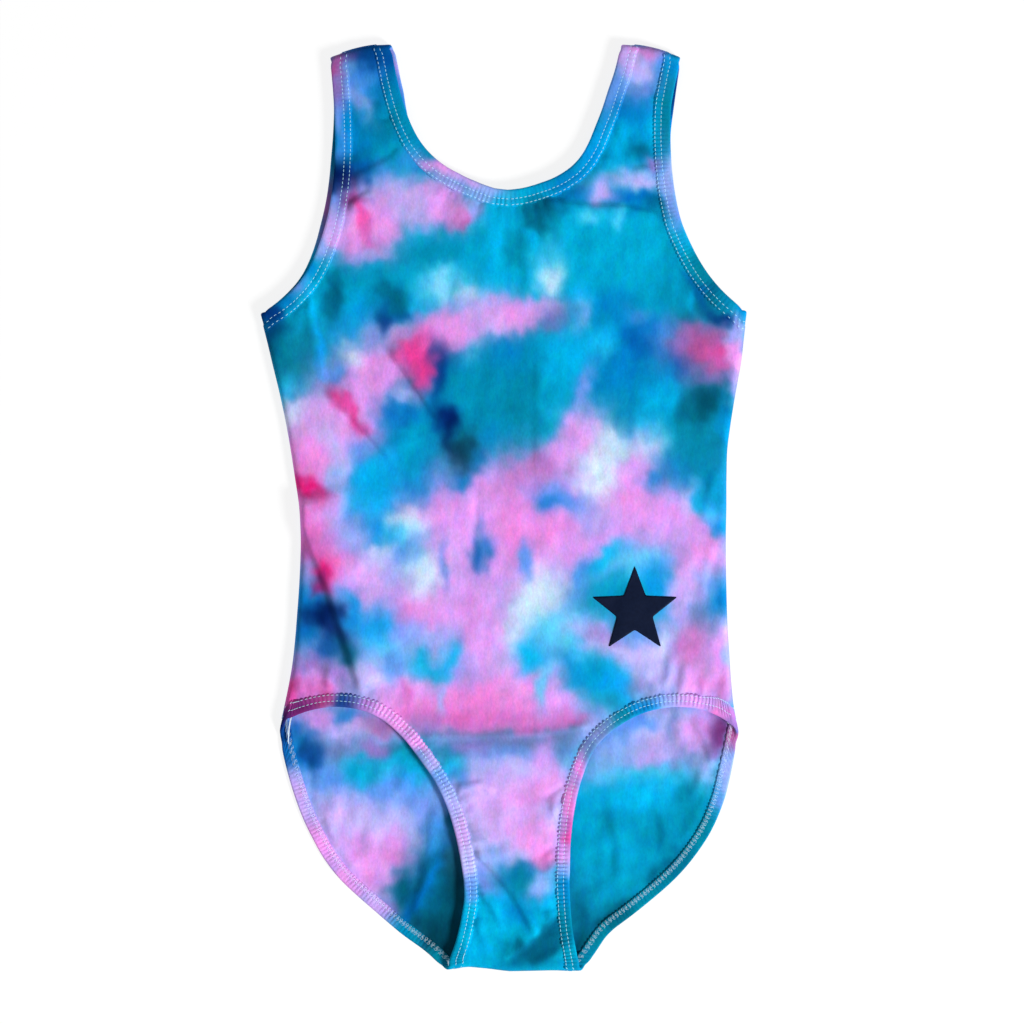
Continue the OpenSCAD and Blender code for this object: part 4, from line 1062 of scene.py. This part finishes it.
HEMS = {
    "neck": (NECK, BACK_NECK, HEM, (LEFT["strap"][::-1], RIGHT["strap"]), 0.1),
    "left_armhole": (LEFT["arm"], LEFT["back arm"], HEM, (LEFT["side"][::-1], LEFT["strap"]), 0.12),
    "right_armhole": (RIGHT["arm"], RIGHT["back arm"], HEM, (RIGHT["strap"][::-1], RIGHT["side"]), 0.22),
    "left_leg": (LEFT["leg"], LEFT["back leg"], LEG_HEM, (CROTCH[::-1], LEFT["side"]), 0.42),
    "right_leg": (RIGHT["leg"], RIGHT["back leg"], LEG_HEM, (RIGHT["side"][::-1], CROTCH), 0.55),
}


def hem_dye_and_shade(points):
    """The colour of a hem: the front's above the middle of the garment, the back's below it."""
    face = dyed_and_shaded(points[:, :2], FRONT_POURS_AND_SHADE + HEM_POURS)
    rear = dyed_and_shaded(points[:, :2], BACK_POURS_AND_SHADE + HEM_BACK_POURS, BACK_SEED)
    share = smooth_step(points[:, 2], MIDDLE_Z - 0.8, MIDDLE_Z + 0.8)[:, None]
    return share * face + (1 - share) * rear


hem_routes, hem_pieces = {}, {}
for name, (front_line, back_line, kind, seams, flute) in HEMS.items():
    route, along, out, into = hem_loop(front_line, back_line, seams)
    ins, ups = hem_section(kind["width"], kind["rows"])
    strength = np.full(len(route), flute)
    if name == "neck":
        strength += 0.35 * np.exp(-(route[:, 0] / 26)**2)
    waves = ripple(route, strength)
    band = np.where(ups >= 0, 1.0, -1.0) * smooth_step(ins, 0.6, kind["rows"][0] - 0.8)
    points, faces = sweep(route, out, into, ins, ups, waves[:, None] * band[None])
    hem = new_piece(name + "_hem", points, faces, KNIT, "dyed_fabric")
    add_dye_and_shade(hem, hem_dye_and_shade(points))
    hem_routes[name] = (route, along, out, into, waves)
    hem_pieces[name] = hem

# ---------------------------------------------------------------------------------------------------
# The coverstitch: two rows of straight stitches outside each hem, and inside it the looper thread
# that zigzags between the rows and covers the raw edge. It is fine polyester thread, paler than the cloth.
# ---------------------------------------------------------------------------------------------------


def glowing_thread_material(name, colour, stain):
    """Fine polyester thread, with a share of the colour of the cloth under it, and a painted glow of that
    colour that brightens its shaded sides.
    """
    material, tree, shader, place = new_material(name)
    ply, tint = grain(tree, place, [0.86 * c for c in colour], colour, 0.3, 0.6, Scale=2500.0, Detail=1.0)
    dye_and_shade = node(tree, "ShaderNodeVertexColor", layer_name="dye_and_shade")
    stained = node(tree, "ShaderNodeMix", data_type="RGBA")
    stained.inputs[0].default_value = stain
    tree.links.new(tint, stained.inputs[6])
    tree.links.new(dye_and_shade.outputs["Color"], stained.inputs[7])
    tree.links.new(stained.outputs[2], shader.inputs["Base Color"])
    tree.links.new(stained.outputs[2], shader.inputs["Emission Color"])
    shader.inputs["Emission Strength"].default_value = 0.25     # painted glow: the thread gives off light of its own colour, standing in for light that passes through it
    relief(tree, shader, ply.outputs["Fac"], 0.00001)
    shader.inputs["Roughness"].default_value = 0.6
    shader.inputs["Specular IOR Level"].default_value = 0.1
    return material


THREAD = glowing_thread_material("pale needle thread", (0.50, 0.86, 0.95), 0.4)
LOOPER = glowing_thread_material("white looper thread", (0.72, 0.90, 1.0), 0.6)


def one_stitch(length, thick):
    """A single stitch: a round thread that dives into the cloth at both ends."""
    bpy.ops.object.select_all(action="DESELECT")
    bpy.ops.mesh.primitive_uv_sphere_add(segments=6, ring_count=5, radius=1, location=(0, 0, 0))
    bead = bpy.context.object
    points = np.array([v.co[:] for v in bead.data.vertices])
    faces = [list(p.vertices) for p in bead.data.polygons]
    bpy.data.objects.remove(bead)
    points = points[:, [2, 0, 1]]
    x = np.sign(points[:, 0]) * np.abs(points[:, 0])**0.8
    return np.c_[x * length / 2, points[:, 1] * thick / 2, points[:, 2] * thick / 2 - 0.1 * x**4], faces


def tube(path, thick, sides=5):
    """Thread that follows an open path."""
    along = np.gradient(path, axis=0)
    along /= np.linalg.norm(along, axis=1)[:, None]
    flat = np.cross(along, [0, 0, 1.0])
    flat /= np.maximum(np.linalg.norm(flat, axis=1), 1e-9)[:, None]
    up = np.cross(flat, along)
    a = np.arange(sides) * 2 * math.pi / sides
    rim = np.cos(a)[None, :, None] * flat[:, None] + np.sin(a)[None, :, None] * up[:, None]
    points = path[:, None] + thick / 2 * rim
    i, j = np.meshgrid(np.arange(len(path) - 1), np.arange(sides), indexing="ij")
    k = (j + 1) % sides
    faces = np.stack([i * sides + j, (i + 1) * sides + j, (i + 1) * sides + k, i * sides + k], -1)
    faces = faces.reshape(-1, 4)
    ends = [list(range(sides)), [(len(path) - 1) * sides + j for j in range(sides)][::-1]]
    return points.reshape(-1, 3), faces.tolist() + ends


def gathered_mesh(parts):
    """One list of points and one of faces from many small shapes."""
    points, faces, start = [], [], 0
    for p, f in parts:
        points.append(p)
        faces += [[v + start for v in face] for face in f]
        start += len(p)
    return np.concatenate(points), faces


NEEDLE_LENGTH, NEEDLE_THICK, LOOPER_THICK = 1.75, 0.46, 0.26
stitch_points, stitch_faces = one_stitch(NEEDLE_LENGTH, NEEDLE_THICK)
for name, (_, _, kind, _, _) in HEMS.items():
    route, along, out, into, waves = hem_routes[name]
    dice = np.random.default_rng(7)
    parts = []
    for row in kind["rows"]:
        for i in range(0, len(route) - 3, SLICES):
            turn = dice.normal(0, 0.05)
            lift = HEM_HALF - 0.12 + max(waves[i], 0) * 0.9 + (0.0 if row == kind["rows"][0] else -0.06)
            middle = route[i] + (row + dice.normal(0, 0.05)) * into[i] + lift * out[i]
            side = np.cross(out[i], along[i])
            side, forward = side + turn * along[i], along[i] - turn * side
            axes = np.stack([forward, side, out[i]])
            parts.append((middle + stitch_points @ axes, stitch_faces))
    points, faces = gathered_mesh(parts)
    needle = new_piece(name + "_needle_threads", points, faces, THREAD, "stitching")
    add_dye_and_shade(needle, hem_dye_and_shade(points))
    loops = []
    at = measured(route)
    steps = np.arange(0, at[-1] - STITCH, STITCH / 8)
    middle_row, half_gap = sum(kind["rows"]) / 2, (kind["rows"][1] - kind["rows"][0]) / 2
    strands = [(middle_row + 0.3, half_gap - 0.5, STITCH / 1.5, 0),
               (middle_row + 0.3, half_gap - 0.7, STITCH / 1.5, 1.6),
               (middle_row - 0.9, 0.3, STITCH / 1.5, 3), (kind["rows"][1] - 0.3, 0.3, STITCH, 2)]
    for strand, (centre, reach, pitch, start) in enumerate(strands):
        swing = 2 / math.pi * np.arcsin(np.sin(2 * math.pi * steps / pitch + start))
        depth = centre + reach * swing
        places, inward, outward = (np.stack([np.interp(steps, at, way[:, k]) for k in range(3)], 1)
                                   for way in (route, into, out))
        lift = -HEM_HALF + 0.02 + 0.06 * strand
        path = places + depth[:, None] * inward + lift * outward
        loops.append(tube(path, LOOPER_THICK, 4))
    points, faces = gathered_mesh(loops)
    looper = new_piece(name + "_looper_threads", points, faces, LOOPER, "stitching")
    add_dye_and_shade(looper, hem_dye_and_shade(points))
    for thread in (needle, looper):
        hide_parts(name + "_coverstitch")

# ---------------------------------------------------------------------------------------------------
# The elastics: flat white rubber tape, one closed loop inside each hem.
# ---------------------------------------------------------------------------------------------------


def rubber_material():
    material, tree, shader, place = new_material("white elastic tape")
    _, tint = grain(tree, place, (0.78, 0.77, 0.72), (0.9, 0.9, 0.87), Scale=1200.0, Detail=2.0)
    tree.links.new(tint, shader.inputs["Base Color"])
    shader.inputs["Roughness"].default_value = 0.7
    return material


RUBBER = rubber_material()
TAPE = 0.25     # half the thickness of the tape
for name, (_, _, kind, _, _) in HEMS.items():
    route, _, out, into, _ = hem_routes[name]
    wide = kind["rows"][1] - 1.6
    ins = np.array([wide, wide, 1.3, 1.3])
    ups = np.array([-TAPE, TAPE, TAPE, -TAPE])
    tape = new_piece(name + "_elastic_tape", *sweep(route[::2], out[::2], into[::2], ins[::-1], ups[::-1]),
                     RUBBER, "elastic", smooth=False)
    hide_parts(name + "_elastic")

# ---------------------------------------------------------------------------------------------------
# The overlocked seams: two cut edges bound together by white textured thread, turned in between the
# panels at the sides, the shoulders and the crotch. Their ends show at the tops of the leg openings.
# ---------------------------------------------------------------------------------------------------
OVERLOCK = glowing_thread_material("white overlock thread", (0.80, 0.92, 1.0), 0.3)
SEAM_ROUTES = {     # the edge, and how far short of it the seam stops at its start and end
    "left_side_seam": (LEFT["side"], 11, 4), "right_side_seam": (RIGHT["side"], 4, 5),
    "left_shoulder_seam": (LEFT["strap"], 3, 3), "right_shoulder_seam": (RIGHT["strap"], 3, 3),
    "crotch_seam": (CROTCH, 3, 3),
}
SEAM_STEP, OVERLOCK_THICK, TAIL_THICK = 0.4, 0.34, 0.45
for name, (edge, start_gap, end_gap) in SEAM_ROUTES.items():
    line = evenly(edge, SEAM_STEP)
    line = line[round(start_gap / SEAM_STEP):-round(end_gap / SEAM_STEP)]
    inner = rightward(line)
    at = measured(line)
    sway = 0.35 * cloud(np.c_[at / 12, at * 0], 1, 61)
    parts = []
    for start in (0, 1.1, 2.1):
        turn = 2 * math.pi * at / 2.2 + start
        depth = 3.6 + 1.9 * np.cos(turn)
        lift = MIDDLE_Z + 0.65 * np.sin(turn) + sway
        path = np.c_[line + depth[:, None] * inner, lift]
        parts.append(tube(path, OVERLOCK_THICK, 4))
    n = len(line)
    flat = np.concatenate([np.c_[line + d * inner, MIDDLE_Z + h + sway] for d, h in
                           ((0.8, 0.45), (5.2, 0.4), (5.2, -0.4), (0.8, -0.45))])
    i = np.arange(n - 1)
    strip = [np.stack([k * n + i, k * n + i + 1, (k + 1) % 4 * n + i + 1, (k + 1) % 4 * n + i], 1)
             for k in range(4)]
    caps = [[0, n, 2 * n, 3 * n], [4 * n - 1, 3 * n - 1, 2 * n - 1, n - 1]]
    parts.append((flat, np.concatenate(strip).tolist() + caps))
    if name == "left_side_seam":        # the ends of the thread, left long, lie in the leg opening
        for x in (0, 0.8):
            tail = np.array([(-130.5 + x, -125, 4.4), (-131.5, -131, 4.2),
                             (-132.5 + x, -135, 3.8), (-132, -142, 3.2)])
            parts.append(tube(evenly(curve(*tail), SEAM_STEP), TAIL_THICK, 5))
    points, faces = gathered_mesh(parts)
    seam = new_piece(name + "_overlock", points, faces, OVERLOCK, "overlock")
    add_dye_and_shade(seam, hem_dye_and_shade(points))
    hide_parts(name)

# ---------------------------------------------------------------------------------------------------
# The gusset lining: a plain pale knit sheet inside the crotch, caught in the leg hems. Its upper edge
# is left free, and shows through the front as a faint ridge.
# ---------------------------------------------------------------------------------------------------


def plain_cloth(name, colour, scale):
    """Undyed cloth of one colour, with fine wales."""
    material, tree, shader, place = new_material(name)
    _, tint = grain(tree, place, [0.88 * c for c in colour], colour, 0.35, 0.65, Scale=scale, Detail=3.0)
    tree.links.new(tint, shader.inputs["Base Color"])
    wales = node(tree, "ShaderNodeTexWave", [("Vector", place)], bands_direction="X",
                 Scale=WALES, Distortion=0.5)
    relief(tree, shader, wales.outputs["Fac"], 0.00005)
    shader.inputs["Roughness"].default_value = 0.7
    return material


LINING = plain_cloth("pale lining knit", (0.84, 0.72, 0.66), 700.0)
lining_low, lining_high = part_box("gusset_lining")


def lining_part(points):
    lower = away_from_hems(points, "")[1]
    return (lower > LEG_HEM["width"] - TUCK) & (points[:, 1] < lining_high.y * MM) \
        & (points[:, 1] > lining_low.y * MM + 3)


lining_flat, lining_faces = flat_cloth(outline(NECK, ""), 4, 4, lining_part)
lining_z = front_height(lining_flat) - FABRIC - 0.15
lining = new_piece("gusset_lining_sheet", np.c_[lining_flat, lining_z], lining_faces, LINING, "lining_fabric")
thicken(lining, 0.5)
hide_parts("gusset_lining")

# ---------------------------------------------------------------------------------------------------
# The care label: a blank satin ribbon sewn into the left side seam.
# ---------------------------------------------------------------------------------------------------
SATIN = plain_cloth("white satin ribbon", (0.86, 0.86, 0.84), 1500.0)
label_low, label_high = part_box("care_label")
bpy.ops.object.select_all(action="DESELECT")
bpy.ops.mesh.primitive_grid_add(x_subdivisions=12, y_subdivisions=8, size=1, location=(0, 0, 0))
label = bpy.context.object
label.name = "care_label_ribbon"
for v in label.data.vertices:
    v.co = ((label_low.x + label_high.x) / 2 + v.co.x * (label_high.x - label_low.x),
            (label_low.y + label_high.y) / 2 + v.co.y * (label_high.y - label_low.y),
            label_low.z - 0.0016 + 0.0004 * math.sin(5 * v.co.x + 1))
label.data.materials.append(SATIN)
thicken(label, 0.2)
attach(label, "root")
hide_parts("care_label")

# ---------------------------------------------------------------------------------------------------
# The star on the hip: a thin blue-black film pressed on to the front, so it follows the cloth.
# ---------------------------------------------------------------------------------------------------


def film_material():
    """Blue-black film, barely glossy, through which the wales of the cloth just show."""
    material, tree, shader, place = new_material("blue-black transfer film")
    _, tint = grain(tree, place, (0.001, 0.004, 0.018), (0.004, 0.010, 0.036), Scale=600.0, Detail=2.0)
    tree.links.new(tint, shader.inputs["Base Color"])
    wales = node(tree, "ShaderNodeTexWave", [("Vector", place)], bands_direction="X",
                 Scale=WALES, Distortion=0.6)
    relief(tree, shader, wales.outputs["Fac"], 0.00002)
    shader.inputs["Roughness"].default_value = 0.6
    shader.inputs["Specular IOR Level"].default_value = 0.08
    return material


star_low, star_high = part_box("hip_star")
star_middle = np.array([(star_low.x + star_high.x) / 2, star_high.y]) * MM
star_r = (star_high.x - star_low.x) * MM / 2 / math.cos(math.radians(18))
star_middle[1] -= star_r
spokes = np.radians(90 - 36 * np.arange(10))
reach = np.where(np.arange(10) % 2 == 0, star_r, 0.42 * star_r)
star_tips = star_middle + np.c_[np.cos(spokes), np.sin(spokes)] * reach[:, None]
star_loop = evenly(np.vstack([star_tips, star_tips[:1]]), 0.5)[:-1]
for _ in range(3):
    star_loop = 0.25 * np.roll(star_loop, 1, 0) + 0.5 * star_loop + 0.25 * np.roll(star_loop, -1, 0)
star_flat, star_faces = flat_cloth(star_loop, 0.9, 0.9, lambda p: np.full(len(p), True))
star_z = front_height(star_flat) + FABRIC / 2 + 0.16
star = new_piece("hip_star_film", np.c_[star_flat, star_z], star_faces, film_material(), "star_print")
thicken(star, 0.12)
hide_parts("hip_star")
